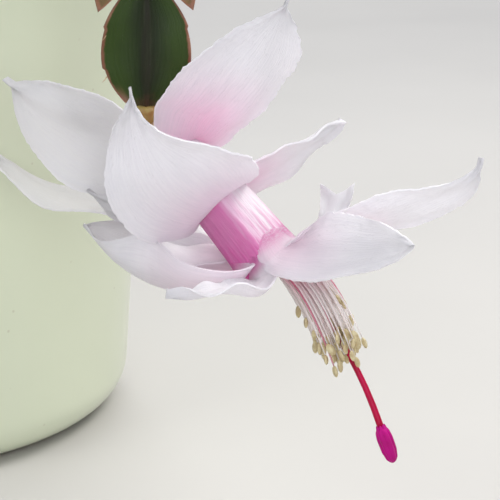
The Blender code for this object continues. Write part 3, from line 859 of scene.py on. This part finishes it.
leaf_look = finish.done(green, clouds.ease(0, 1, 0.34, 0.5),
                        grain(spot, 2600.0) * 0.25 + fibres * 0.5, 0.12, light=0.22,
                        glow=rim.between((0.13, 0.20, 0.02), (0.5, 0.18, 0.08)))

finish = Finish("Tan bristle", 0.5, Specular_IOR_Level=0.4)
tone = cloudy(finish.spot, 900.0, 0.2)
bristle_look = finish.done(tone.between((0.50, 0.33, 0.17), (0.68, 0.50, 0.30)),
                           tone.ease(0, 1, 0.4, 0.6), tone, 0.02)

# %% Grow the chains
draw = random.Random(4)
for number, spine in enumerate(spines, 1):
    bodies, hairs = [blade(f"blade_{number}", spine, 1.7 * number)], bristles(spine, draw)
    if number in BRANCHES:
        joint, side = BRANCHES[number]
        pitch = spine.segments[joint][2]
        twig = spine.branch(joint, side, [(25, 16, pitch), (24, 17, pitch + 30)])
        bodies.append(blade("twig", twig, 9.1 + number))
        hairs += bristles(twig, draw)
    pieces = [wear(body, leaf_look) for body in bodies] + [wear(hair, bristle_look) for hair in hairs]
    settle(joined(f"chain_{number:02d}", pieces), f"stem_{number:02d}")

# %% [markdown]
# ## Flower tube
# The petals of a Christmas cactus grow together into a long, curved tube behind the mouth. Its
# centre line is a quadratic curve. Any length along it has a point, an axis, an upper side and
# a right-hand side, and every petal, filament and vein is placed from those.


# %% Centre line of the tube
def bow(t, start, middle, end):
    """A quadratic curve between two ends, pulled towards the middle."""
    t = t[:, None]
    return (1 - t) ** 2 * start + 2 * t * (1 - t) * middle + t * t * end


class Throat:
    STATIONS, RADII = (0, 3, 8, 14, 24, 34), (1.9, 3.2, 4.3, 4.9, 5.3, 5.7)

    def __init__(self, *corners):
        self.line = bow(np.linspace(0, 1, 120), *corners)
        self.length_at = lengths_along(self.line)
        self.length = self.length_at[-1]
        self.mouth = self.length - 1.5 * MM
        self.axes = unit(np.gradient(self.line, axis=0))

    def at(self, along):
        """Points, axes, upper sides and right-hand sides at lengths along the tube."""
        inside = np.clip(along, 0, self.length)
        axis = unit(read(self.axes, self.length_at, inside))
        past = np.asarray(along - inside)[..., None]
        upper = unit(np.array([0, 0, 1.0]) - axis * axis[..., 2:3])
        point = read(self.line, self.length_at, inside) + axis * past
        return point, axis, upper, np.cross(axis, upper)

    def radius(self, along):
        return np.interp(along / MM, self.STATIONS, self.RADII) * MM

    def skin_radius(self, along, angle):
        """The tube is round at the ovary and softly five-sided at the mouth."""
        flats = radians(62) + 0.4 * pi * (np.arange(5)[:, None] + 0.5)
        sides = (np.clip(np.cos(angle - flats), 0, 1) ** 12).sum(axis=0)
        corner = sides ** (-1 / 12) / 1.06 - 1
        share = np.interp(along / MM, (4, 20, 34), (0, 0.6, 0.9))
        return self.radius(along) * (1 + share * corner)

    def skin(self, along, angle, radius):
        """Points round the tube: angle 0 is its upper side, and 90 degrees its right."""
        point, _, upper, side = self.at(along)
        return point + turned(angle, upper, side) * radius[:, None]


# %% Round rods
def round_axis(axis, angle):
    """Directions square to an axis, at angles round it."""
    side = unit(np.cross(axis, (0.31, 0.95, 0.05)))
    return turned(angle, side, np.cross(axis, side))


def rod(name, points, radii, sides, rows, mark=0.0):
    """A round rod through points: a rolled sheet that knows its place along."""
    length_at = lengths_along(points)
    whole = length_at[-1]

    def place(across, along):
        centre, ahead, behind = (
            read(points, length_at, np.clip(along * whole + step, 0, whole))
            for step in (0, whole / 50, -whole / 50))
        ring = round_axis(unit(ahead - behind), across * pi)
        radius = np.interp(along * whole, length_at, radii)
        return centre + ring * radius[:, None], (across, along, mark)

    return sheet(name, sides, rows, place, rolled=True)


# %% [markdown]
# The tube is a rolled sheet too: it runs up the outside to the mouth, turns over a thin lip and
# goes back inside. Five soft ridges, where the petals' bases have grown together, make it
# angular.


# %% Tube shape
def tube(throat):
    turns, wall, deep = (0, 0.68, 0.74, 1), 0.9 * MM, 11 * MM

    def place(across, along):
        station = np.interp(along, turns, (0.2 * MM, throat.mouth, throat.mouth, deep))
        radius = throat.skin_radius(station, across * pi)
        radius -= np.interp(along, turns, (0, 0, wall, wall))
        lip = 0.35 * MM * np.exp(-((along - 0.71) / 0.02) ** 2)
        return (throat.skin(station + lip, across * pi, radius),
                (across, station / throat.mouth, along > 0.7))

    return sheet("tube", 60, 60, place, rolled=True)


# %% [markdown]
# ## Petals
# A petal is a thin sheet that is bent along its length. It begins as a narrow strip on the
# tube, lets go of it and leans out, and most petals then curl back. Each entry of the table
# shapes one petal: *turn* places it round the tube and *along* on it; *lean* is its first
# angle from the tube and *curl* how much more it bends, *ease* how early; *roll*, *swing* and
# *sweep* turn it about its own line and in its own plane, and *hook* bends its tip; *cup* curls
# its edges in, or out below zero; *full*, *foot*, *point* and *spike* give its outline, and
# *notch* cuts its end back. *far* holds what differs on its other side, which *fold* curls
# further. *grip* is the part of its length that clings to the tube. The rest are for life: the
# edges *ripple* in *waves* and *fray*, and *pleat* runs along it. *blush_and_shade* above zero
# is a pink flush; below zero it is a grey coat, painted shade on the hind petals. A seed draws
# the small unevenness, so that no two petals are alike.

# %% Petal table
PETAL = dict(roll=0, swing=0, sweep=0, cup=20, ease=1.0, full=0.5, foot=0.4, point=0.9, hook=0,
             spike=0.95, notch=0.0, fold=0, far={}, grip=0.25, ripple=0.45, waves=2.3, pleat=0.16,
             fray=0.12, blush_and_shade=0.5)
PETALS = (
    dict(turn=-4, along=7, length=30, width=23, lean=86, curl=26, roll=42, full=0.35, foot=1.0,
         far=dict(full=0.65, foot=0.9, width=14), grip=0.12, ripple=0.6, fray=0.2, blush_and_shade=0.7),
    dict(turn=80, along=18, length=32, width=20, lean=50, curl=122, ease=0.4, swing=4, sweep=-44,
         full=0.45, foot=0.6, point=1.0, fold=40, far=dict(full=0.4, foot=0.7, point=2.0, width=28),
         ripple=0.55, waves=3.6, fray=0.16, blush_and_shade=0.35),
    dict(turn=135, along=7, length=31, width=19.5, lean=141, curl=36, ease=0.7, roll=-35,
         foot=0.5, blush_and_shade=-0.4),
    dict(turn=181, along=12, length=43, width=12, lean=96, curl=75, ease=0.6, foot=0.6, blush_and_shade=-0.6),
    dict(turn=150, along=17, length=20, width=7, lean=120, curl=50, roll=-40, blush_and_shade=-0.4),
    dict(turn=-50, along=17, length=22.5, width=10.5, lean=74, curl=18, roll=20, full=0.2,
         foot=0.95, point=0.8, spike=1),
    dict(turn=165, along=30.5, length=33, width=22, lean=100, curl=75, ease=0.6, cup=-100,
         roll=24, full=0.55, foot=0.6, point=0.6, spike=1, fold=-140,
         far=dict(full=0.35, foot=0.45, point=1.3, width=36)),
    dict(turn=195, along=26, length=22, width=13, lean=125, curl=30, foot=0.6),
    dict(turn=80, along=33, length=20, width=9, lean=50, curl=90, ease=0.5, swing=25, roll=45,
         cup=-60, full=0.3, foot=0.9, point=0.8, fold=-40, far=dict(foot=0.4, width=9),
         ripple=0.6, blush_and_shade=0.2),
    dict(turn=26, along=31, length=34, width=12, lean=57, curl=8, cup=-40, roll=-40, full=0.35,
         foot=0.8, point=0.7, spike=1, grip=0.36, blush_and_shade=0.4),
    dict(turn=-10, along=31.5, length=37, width=11, lean=60, curl=18, cup=-30, roll=40, hook=60,
         full=0.45, foot=0.6, far=dict(full=0.75, foot=0.25, width=9)),
    dict(turn=-70, along=31.5, length=16.4, width=6, lean=80, curl=60, cup=10, roll=-60, swing=10,
         full=0.95, foot=-0.7, point=0.2, spike=1.1, notch=0.14, ripple=0.25),
)
STRIP = 0.12                   # the share of a petal's rows that are still on the tube
STRIP_LENGTH, PETAL_THICKNESS = 5, 0.32
print("petals:", len(PETALS), "longest in mm:", max(p["length"] for p in PETALS))


# %% Shape of one petal
def outline(v, p):
    """Half width along one side of a petal."""
    v, full, foot = np.minimum(v / p["spike"], 1), p["full"], p["foot"]
    rising = foot + (1 - foot) * np.sin(pi / 2 * v / full)
    falling = np.clip(np.cos(pi / 2 * (v - full) / (1 - full)), 0, 1) ** p["point"]
    return np.where(v < full, rising, falling) * p["width"] / 2


def petal_line(throat, opened, p, steps=240):
    """Centre line of a petal and the ways across and back, as tables over its length."""
    start, axis, upper, side = throat.at(p["along"] * MM)
    out = turned(radians(p["turn"]), upper, side)
    round_tube = np.cross(axis, out)
    v = np.linspace(0, 1, steps + 1)
    angle = np.radians((p["lean"] + p["curl"] * v ** p["ease"]) * opened
                       + p["hook"] * ramp(v, 0.75, 1) ** 2)
    in_plane, roll = np.radians(p["swing"] + p["sweep"] * v), radians(p["roll"])
    forward, back = turned(angle, axis, out), turned(angle, out, -axis)
    line, across = turned(in_plane, forward, round_tube), turned(in_plane, round_tube, -forward)
    across, back = turned(roll, across, back), turned(roll, back, -across)
    walk = np.cumsum(np.vstack([np.zeros(3), line[:-1]]), axis=0) * p["length"] * MM / steps
    root = start + out * (throat.radius(p["along"] * MM) - 0.3 * MM)
    return v, root + walk, across, back


def petal(name, throat, opened, shape, seed):
    p = {**PETAL, **shape}
    table, *ways = petal_line(throat, opened, p)

    def uneven(u, v, size, kind):
        return wander(u * size, v * size * 2, seed * 7.3 + kind)

    def half_width(u, v):
        half = np.where(u < 0, outline(v, {**p, **p["far"]}), outline(v, p))
        fray = uneven(np.sign(u), v * 22, 1, 1) + 0.6 * uneven(np.sign(u), v * 60, 1, 2)
        half = half + p["fray"] * fray * ramp(v, 0, 0.25) * 2
        return np.maximum(half, np.interp(v, (0, 0.4, 0.9, 1), (1.1, 0.9, 0.3, 0.1))) * MM

    def ripples(u, v):
        rise = p["ripple"] * np.abs(u) ** 2.5 * np.sin(2 * pi * p["waves"] * v + seed + 1.9 * u)
        rise = rise + 2.6 * p["ripple"] * uneven(u * 0.9, v, 1.5, 3)
        rise = rise + p["pleat"] * np.cos(u * 7 + 0.8 * np.sin(3 * v + seed)) * (1 - v)
        return (rise * ramp(v, 0, 0.15) * MM)[:, None]

    def place(u, t):
        v, before = ramp(t, STRIP, 1), ramp(t, STRIP, 0)
        half = half_width(u, v) * (1 - 0.5 * before)
        reached = v - p["notch"] * (1 - np.abs(u)) * v ** 4
        middle, across, back = (read(way, table, reached) for way in ways)
        bend = radians(p["cup"]) + radians(p["fold"]) * (u < 0)
        curve = bend / 2 * (0.35 + 0.65 * np.sin(pi * np.clip(v, 0, 0.9)))
        curve = np.where(np.abs(curve) < 1e-3, 1e-3, curve)
        out = (half / curve)[:, None]
        free = middle + out * (np.sin(u * curve)[:, None] * across
                               + (np.cos(u * curve) - 1)[:, None] * back)
        free = free + back * ripples(u, v)
        station = p["along"] * MM + 0.4 * v * p["length"] * MM - before * STRIP_LENGTH * MM
        around = radians(p["turn"]) + u * half / throat.radius(station)
        sunk = (0.3 * before + 0.18 * np.abs(u) ** 3 - 0.05) * MM
        seat = throat.skin(station, around, throat.skin_radius(station, around) - sunk)
        hug = (ramp(v, p["grip"], 0) ** 2)[:, None]
        wrapped = (around / pi + 1) % 2 - 1
        return (free + (seat - free) * hug, (u, v, p["blush_and_shade"]),
                (wrapped, station / throat.mouth, before))

    return thickened(sheet(name, 26, 64, place), PETAL_THICKNESS)


# %% [markdown]
# ## Petal and tube finishes
# The tube is nearly white on its upper side and magenta beneath, with the change along its
# ridges, and darkest in short lines next to the mouth. The white on top is partly a painted
# highlight, and the magenta beneath partly painted shade; the rest is the tube's own colour.
# That colour is a node group, because a petal's strip on the tube wears it too: the strip keeps
# a second mark, its seat on the tube, and so it fades into the tube. Petals are white with a
# breath of lilac, and flush pink towards the tube. The hind ones are painted greyer, as painted
# shade, and so are their edges where they curl. Fine veins run their length, and large clear
# cells sparkle between them.


# %% Paint of the tube
def tube_colours(place, spot):
    round_it, along, _ = place.parts()
    mist, seams, strokes = cloudy(spot, 170.0, 0.3), veins(place, 10.0, 0.8), streaks(place, 26.0)
    ragged = abs(round_it) + strokes * 0.02
    # Near-white upper side: partly a painted highlight; magenta beneath: partly painted shade. The
    # rest is the tube's own colour.
    beneath = ragged.ease(0.315, 0.385)
    near_mouth = (along + strokes * 0.16).ease(0.78, 1.1)
    rose = coats(ragged.ease(0.10, 0.36).between((0.96, 0.93, 0.96), (0.93, 0.60, 0.80)),
                 (beneath, (0.78, 0.24, 0.53)),
                 (near_mouth * 0.9, (0.74, 0.06, 0.40)),
                 (seams * 0.10, (0.90, 0.66, 0.80)),
                 (strokes * 0.14, (0.88, 0.42, 0.64)),
                 (mist * 0.15, (0.92, 0.74, 0.83)),
                 (along.ease(0.16, 0.02), (0.62, 0.46, 0.24)))
    return rose, beneath, strokes


tube_paint = node_group("Tube paint", dict(Place=VECTOR, Spot=VECTOR),
                        dict(Colour="Color", Beneath=NUMBER, Strokes=NUMBER), tube_colours)

# %% Petal finish
finish = Finish("White petal", 0.5, Specular_IOR_Level=0.35)
spot, mark, seat = finish.spot, finish.mark(), finish.mark("seat")
across, along, blush_and_shade = mark.parts()
off_middle, on_tube = abs(across), seat.parts()[2].ease(0.02, 0.6)
clouds, lines, strokes = cloudy(spot, 110.0, 0.3), veins(mark, 11.0, 1.3), streaks(mark, 34.0)
sparkle = mark.stretched(1.0, 0.75, 0.0).cells(30.0).ease(0.30, 0.08)
flush = (along.ease(0.60, 0.0) * off_middle.ease(1.5, 0.1) * clouds.ease(0, 1, 0.8, 1.1)
         * blush_and_shade.ease(0, 1))
white = coats(clouds.between((0.95, 0.945, 0.97), (0.98, 0.975, 0.99)),
              (flush, (0.97, 0.66, 0.82)),
              # Grey coat where the petal's pink-flush value is below zero: painted shade on the hind
              # petals.
              (blush_and_shade.ease(0, -1), (0.50, 0.50, 0.46)),
              (lines * 0.14, (0.86, 0.78, 0.86)),
              (strokes * 0.28, (0.74, 0.73, 0.80)),
              (sparkle * 0.35, (0.95, 0.95, 0.97)),
              # Greyer petal edges: painted shade where the edges curl.
              (off_middle.ease(0.94, 1.0) * 0.45, (0.90, 0.88, 0.91)),
              (on_tube, tube_paint(seat, spot)[0]))
relief = grain(spot, 3800.0) * 0.25 + (lines + strokes) * 0.25 + sparkle * 0.45
petal_look = finish.done(white, strokes.ease(0, 1, 0.42, 0.6), relief, 0.12, light=0.42,
                         glow=flush.between((0.97, 0.95, 0.97), (1.0, 0.58, 0.78)))

# %% Tube finish
finish = Finish("Pink tube", 0.5, Specular_IOR_Level=0.35)
colour, beneath, strokes = tube_paint(finish.mark(), finish.spot)
relief = grain(finish.spot, 3200.0) * 0.25 + strokes * 0.6
tube_look = finish.done(colour, strokes.ease(0, 1, 0.42, 0.56), relief, 0.12, light=0.25,
                        glow=beneath.between((0.95, 0.72, 0.84), (0.85, 0.2, 0.45)))

# %% [markdown]
# ## Stamens, pistil and ovary
# A truncata flower pushes out a bundle of thin white filaments, pinkish at the base, and each
# holds a pale yellow, two-lobed anther. They arch over with their weight. The crimson style
# goes through the bundle, grows thicker, sinks, and ends in the closed, ridged, magenta stigma.
# Their finishes come first: two clouded colours, a fine cell relief, and for thin pieces some
# light from behind.


# %% Finishes of stamens, pistil and ovary
def soft_skin(name, first, second, roughness, clouds, cells, depth, light=0, shine=0.5):
    finish = Finish(name, roughness, Specular_IOR_Level=shine)
    mask = cloudy(finish.spot, clouds, 0.2)
    return finish.done(mask.between(first, second),
                       mask.ease(0, 1, roughness - 0.06, roughness + 0.08),
                       grain(finish.spot, cells), depth, light)


anther_look = soft_skin("Pollen anther", (0.60, 0.47, 0.25), (0.80, 0.71, 0.45), 0.8,
                        900.0, 7000.0, 0.12, light=0.12)
style_look = soft_skin("Crimson style", (0.36, 0.0, 0.03), (0.48, 0.0, 0.055), 0.35,
                       300.0, 4000.0, 0.03, shine=0.25)
stigma_look = soft_skin("Magenta stigma", (0.35, 0.0, 0.13), (0.47, 0.0, 0.20), 0.5,
                        260.0, 6000.0, 0.07, shine=0.2)
ovary_look = soft_skin("Ovary skin", (0.36, 0.17, 0.04), (0.44, 0.36, 0.12), 0.4,
                       350.0, 2600.0, 0.06, light=0.12)

finish = Finish("White filament", 0.4)
_, along, chance = finish.mark().parts()
fine = cloudy(finish.spot, 900.0, 0.3)
tone = coats(along.ease(0.80, 0.45).between((0.98, 0.94, 0.93), (0.93, 0.56, 0.66)),
             (chance.ease(0.92, 0.96) * 0.7, (0.78, 0.20, 0.36)))
filament_look = finish.done(tone, fine.ease(0, 1, 0.34, 0.48), fine, 0.02, light=0.6)


# %% Filaments and anthers
def filament_line(throat, high, wide, reach, weight):
    """high and wide, each -1 to 1, are its place in the bundle, which leans on the tube's upper
    side, opens beyond the mouth and bends down there."""
    start = 14 * MM
    along = start + np.linspace(0, 1, 18) * (throat.length - start + reach)
    point, _, upper, side = throat.at(along)
    inside = ramp(along, start, throat.length)
    beyond = np.clip(along - throat.length, 0, None)
    opened = 1 - np.exp(-beyond / (7 * MM))
    lift = (2.2 + 2.1 * high) * inside ** 1.3 + (2.8 + 2.0 * high + 1.1 * high ** 3) * opened
    shift = 3.0 * wide * inside + 1.2 * wide * opened
    sag = weight * beyond ** 2.6 / (beyond + 14 * MM) ** 1.6
    return (point + upper * (lift * MM)[:, None] + side * (shift * MM)[:, None]
            + sag[:, None] * np.array([-0.19, 0.0, -1.08]))


def anther_model():
    obj = started(bpy.ops.mesh.primitive_uv_sphere_add, segments=10, ring_count=7,
                  radius=1 * MM)
    for v in obj.data.vertices:
        groove = 1 - 0.42 * np.exp(-(v.co.x / (0.28 * MM)) ** 2)
        v.co = Vector((v.co.x * 0.56, v.co.y * 0.42 * groove, v.co.z * 1.05))
    return obj


def bunch(name, throat, number, seed):
    """Low and hind filaments end anywhere, but those in front nearly all reach the end."""
    draw, model, made = random.Random(seed), anther_model(), []
    for k in range(number):
        angle, out = 2 * pi * (k * 0.382 % 1), sqrt((k + 0.5) / number)
        high, wide = out * cos(angle), out * sin(angle)
        reach = (4, 13) if high < -0.3 else (6.5, 14.5) if wide < -0.1 else (12, 16)
        line = filament_line(throat, high, wide, draw.uniform(*reach) * MM, draw.uniform(0.8, 1.2))
        thick = np.interp(np.linspace(0, 1, len(line)), (0, 0.85, 1), (0.21, 0.17, 0.10)) * MM
        made.append(wear(rod("filament", line, thick, 6, 17, draw.random()), filament_look))
        droop = np.array([draw.uniform(-0.5, 0.5), draw.uniform(-0.5, 0.5), -0.7])
        down = unit(unit(line[-1] - line[-2]) + droop)
        spin = Matrix.Rotation(draw.uniform(0, pi), 4, "Z")
        hung = stood(line[-1] + down * 0.7 * MM, down)
        anther = copied(model, hung @ spin @ Matrix.Scale(draw.uniform(0.8, 1.1), 4))
        made.append(wear(anther, anther_look))
    bpy.data.objects.remove(model)
    return joined(name, made)


# %% Style and stigma
def style_line(throat, v):
    """Near the tube's upper side at its mouth, and sinking beyond it."""
    along = 12 * MM + v * (throat.length - 12 * MM + 26 * MM)
    point, _, upper, _ = throat.at(along)
    rise = ramp(along, 16 * MM, 33 * MM)[:, None] * 1.6 * MM
    beyond = np.clip(along - throat.length, 0, None)[:, None]
    return point + upper * rise + np.array([0.0, 0.0, -8.6 * MM]) * (beyond / (27.5 * MM)) ** 4


def pistil(name, throat):
    v = np.linspace(0, 1, 24)
    line = style_line(throat, v)
    thick = np.interp(v, (0, 0.5, 0.75, 1), (0.28, 0.32, 0.44, 0.58)) * MM
    style = rod("style", line, thick, 14, 60)
    way = unit(line[-1] - line[-2])

    def club(across, t):
        length, angle = -0.3 + 6.7 * t, across * pi
        body = np.interp(length, (-0.3, 0.1, 0.7, 2.0, 4.2, 5.6, 6.2, 6.4),
                         (0.5, 0.92, 1.18, 1.34, 1.28, 0.96, 0.5, 0.05))
        ridge = 0.17 * np.abs(np.cos(3.5 * (angle + 0.05 * length))) * np.clip(length, 0, 1)
        notch = 0.35 * np.exp(-((length - 0.1) / 0.25) ** 2) * np.cos(7 * angle)
        centre = line[-1] + way * ((length + notch) * MM)[:, None]
        radius = body * (0.86 + ridge) * MM
        return centre + round_axis(way, angle) * radius[:, None], (across, t, 0)

    stigma = sheet("stigma", 84, 44, club, rolled=True)
    return joined(name, [wear(style, style_look), wear(stigma, stigma_look)])


# %% Ovary
def ovary(tip, down, throat):
    """The green body between the stem's tip and the tube, with five low ribs."""
    end, axis, _, side = throat.at(0.4 * MM)
    start = tip - down * 0.3 * MM
    bend = start + down * 1.8 * MM

    def place(across, v):
        line = unit((1 - v)[:, None] * down + v[:, None] * axis)
        radius = np.interp(v, (0, 0.06, 0.3, 0.7, 1), (1.5, 2.1, 2.5, 2.3, 1.95))
        radius = radius * (1 + 0.05 * np.cos(5 * across * pi)) * MM
        ring = turned(across * pi, unit(np.cross(side, line)), side)
        return bow(v, start, bend, end) + ring * radius[:, None], (across, v, 0)

    return sheet("ovary", 40, 18, place, rolled=True)


# %% [markdown]
# ## The two open flowers
# The main flower hangs from the chain over the rim. The second one, on the left, isn't quite
# as wide open. Both are made by one function, which turns the whole flower about the stem's tip.


# %% Grow the flowers
# Steps in millimetres: the tube's start from the stem's tip, then its middle and mouth from there
TUBE_START, TUBE_MIDDLE, TUBE_MOUTH = (0.6, -0.3, 0.0), (10.9, -4.0, -10.3), (21.8, -10.7, -22.7)
OVARY_LENGTH = 3.2


def step(yaw, way):
    """A step in millimetres, turned about the upright axis."""
    return np.array(Matrix.Rotation(radians(yaw), 3, "Z")) @ np.array(way) * MM


def flower(number, spine, yaw, opened, filaments):
    tip, down, _, _ = spine.at(spine.total)
    first = tip + down * OVARY_LENGTH * MM + step(yaw, TUBE_START)
    throat = Throat(first, first + step(yaw, TUBE_MIDDLE), first + step(yaw, TUBE_MOUTH))
    petals = [wear(petal(f"petal_{k}", throat, opened, shape, k + 1.3 * number), petal_look)
              for k, shape in enumerate(PETALS)]
    bloom = joined(f"bloom_{number}", [wear(tube(throat), tube_look), *petals])
    bpy.ops.object.shade_smooth_by_angle(angle=radians(50))
    settle(bloom, f"flower_{number}_petals")
    green = wear(ovary(tip, down, throat), ovary_look)
    settle(joined(f"ovary_{number}", [green]), f"flower_{number}_ovary")
    settle(bunch(f"bunch_{number}", throat, filaments, number), f"flower_{number}_stamens")
    settle(pistil(f"pistil_{number}", throat), f"flower_{number}_pistil")


flower(1, spines[0], 0, 1.0, 100)
flower(2, spines[6], 268, 0.93, 80)

# %% [markdown]
# ## Buds
# A closed bud is the same flower before it opens: a small green ovary, a short neck and petals
# wrapped over each other to a point. The wraps are thin sheets laid on a core, each a little
# further out than the one before, so that their edges catch the light.

# %% Bud finish
finish = Finish("Pink bud", 0.42, Specular_IOR_Level=0.4)
spot, mark = finish.spot, finish.mark()
along = mark.parts()[1]
clouds, lines = cloudy(spot, 170.0, 0.25), veins(mark, 6.0, 1.0)
rosy = coats(along.ease(0.35, 1.0).between((0.80, 0.58, 0.66), (0.74, 0.26, 0.46)),
             (clouds * 0.3, (0.84, 0.50, 0.64)),
             (lines * 0.3, (0.66, 0.18, 0.38)))
bud_look = finish.done(along.ease(0.20, 0.10).between(rosy, (0.26, 0.30, 0.08)),
                       clouds.ease(0, 1, 0.36, 0.5), grain(spot, 3000.0) * 0.4 + lines * 0.4,
                       0.08, light=0.18, glow=rosy)

# %% Bud shape
BUD_STATIONS = (0, 0.08, 0.16, 0.32, 0.56, 0.76, 0.92, 1.0)
BUD_RADII = (1.9, 2.4, 1.9, 3.2, 4.1, 3.6, 1.8, 0.25)
BUD_DROP, BUD_TIP, BUD_LENGTH = 15, (16, 0, -28.0), 33     # of a full-sized bud


def bud(number, spine, yaw, length):
    tip, down, _, _ = spine.at(spine.total)
    reach = length / BUD_LENGTH
    throat = Throat(tip, tip + down * BUD_DROP * MM * reach, tip + step(yaw, BUD_TIP) * reach)

    def girth(v):
        smooth = sum(np.interp(v + d, BUD_STATIONS, BUD_RADII) for d in (-0.03, 0, 0.03)) / 3
        return smooth * sqrt(reach) * MM

    def core(across, v):
        return throat.skin(v * throat.length, across * pi, girth(v) * 0.96), (across, v, 0)

    def wrap(start, angle, spread, layer):
        def place(u, t):
            v = start + t * (1.0 - start)
            half = spread * np.sin(pi * np.clip(0.12 + 0.88 * t, 0, 1)) ** 0.6
            out = girth(v) + (0.10 + 0.16 * layer) * MM * np.sin(pi * np.clip(t, 0.02, 0.98)) ** 0.5
            out = out + 0.12 * MM * np.abs(u) ** 3
            around = angle + u * half + 0.5 * v
            return throat.skin(v * throat.length, around, out), (u, 0.1 + 0.8 * v, layer)
        return place

    pieces = [sheet("core", 32, 40, core, rolled=True)]
    for k in range(6):
        layer = k % 3
        leaf = sheet("wrap", 14, 30, wrap(0.17 + 0.05 * layer, 2.4 * k, 1.15, 1 + layer))
        pieces.append(thickened(leaf, 0.22))
    pieces = [wear(piece, bud_look) for piece in pieces]
    settle(joined(f"closed_bud_{number}", pieces), f"bud_{number}")


# %% Grow the buds
for number, (stem, yaw, length) in enumerate(((5, 133, 30), (8, 268, 24), (4, 88, 18)), 1):
    bud(number, spines[stem - 1], yaw, length)
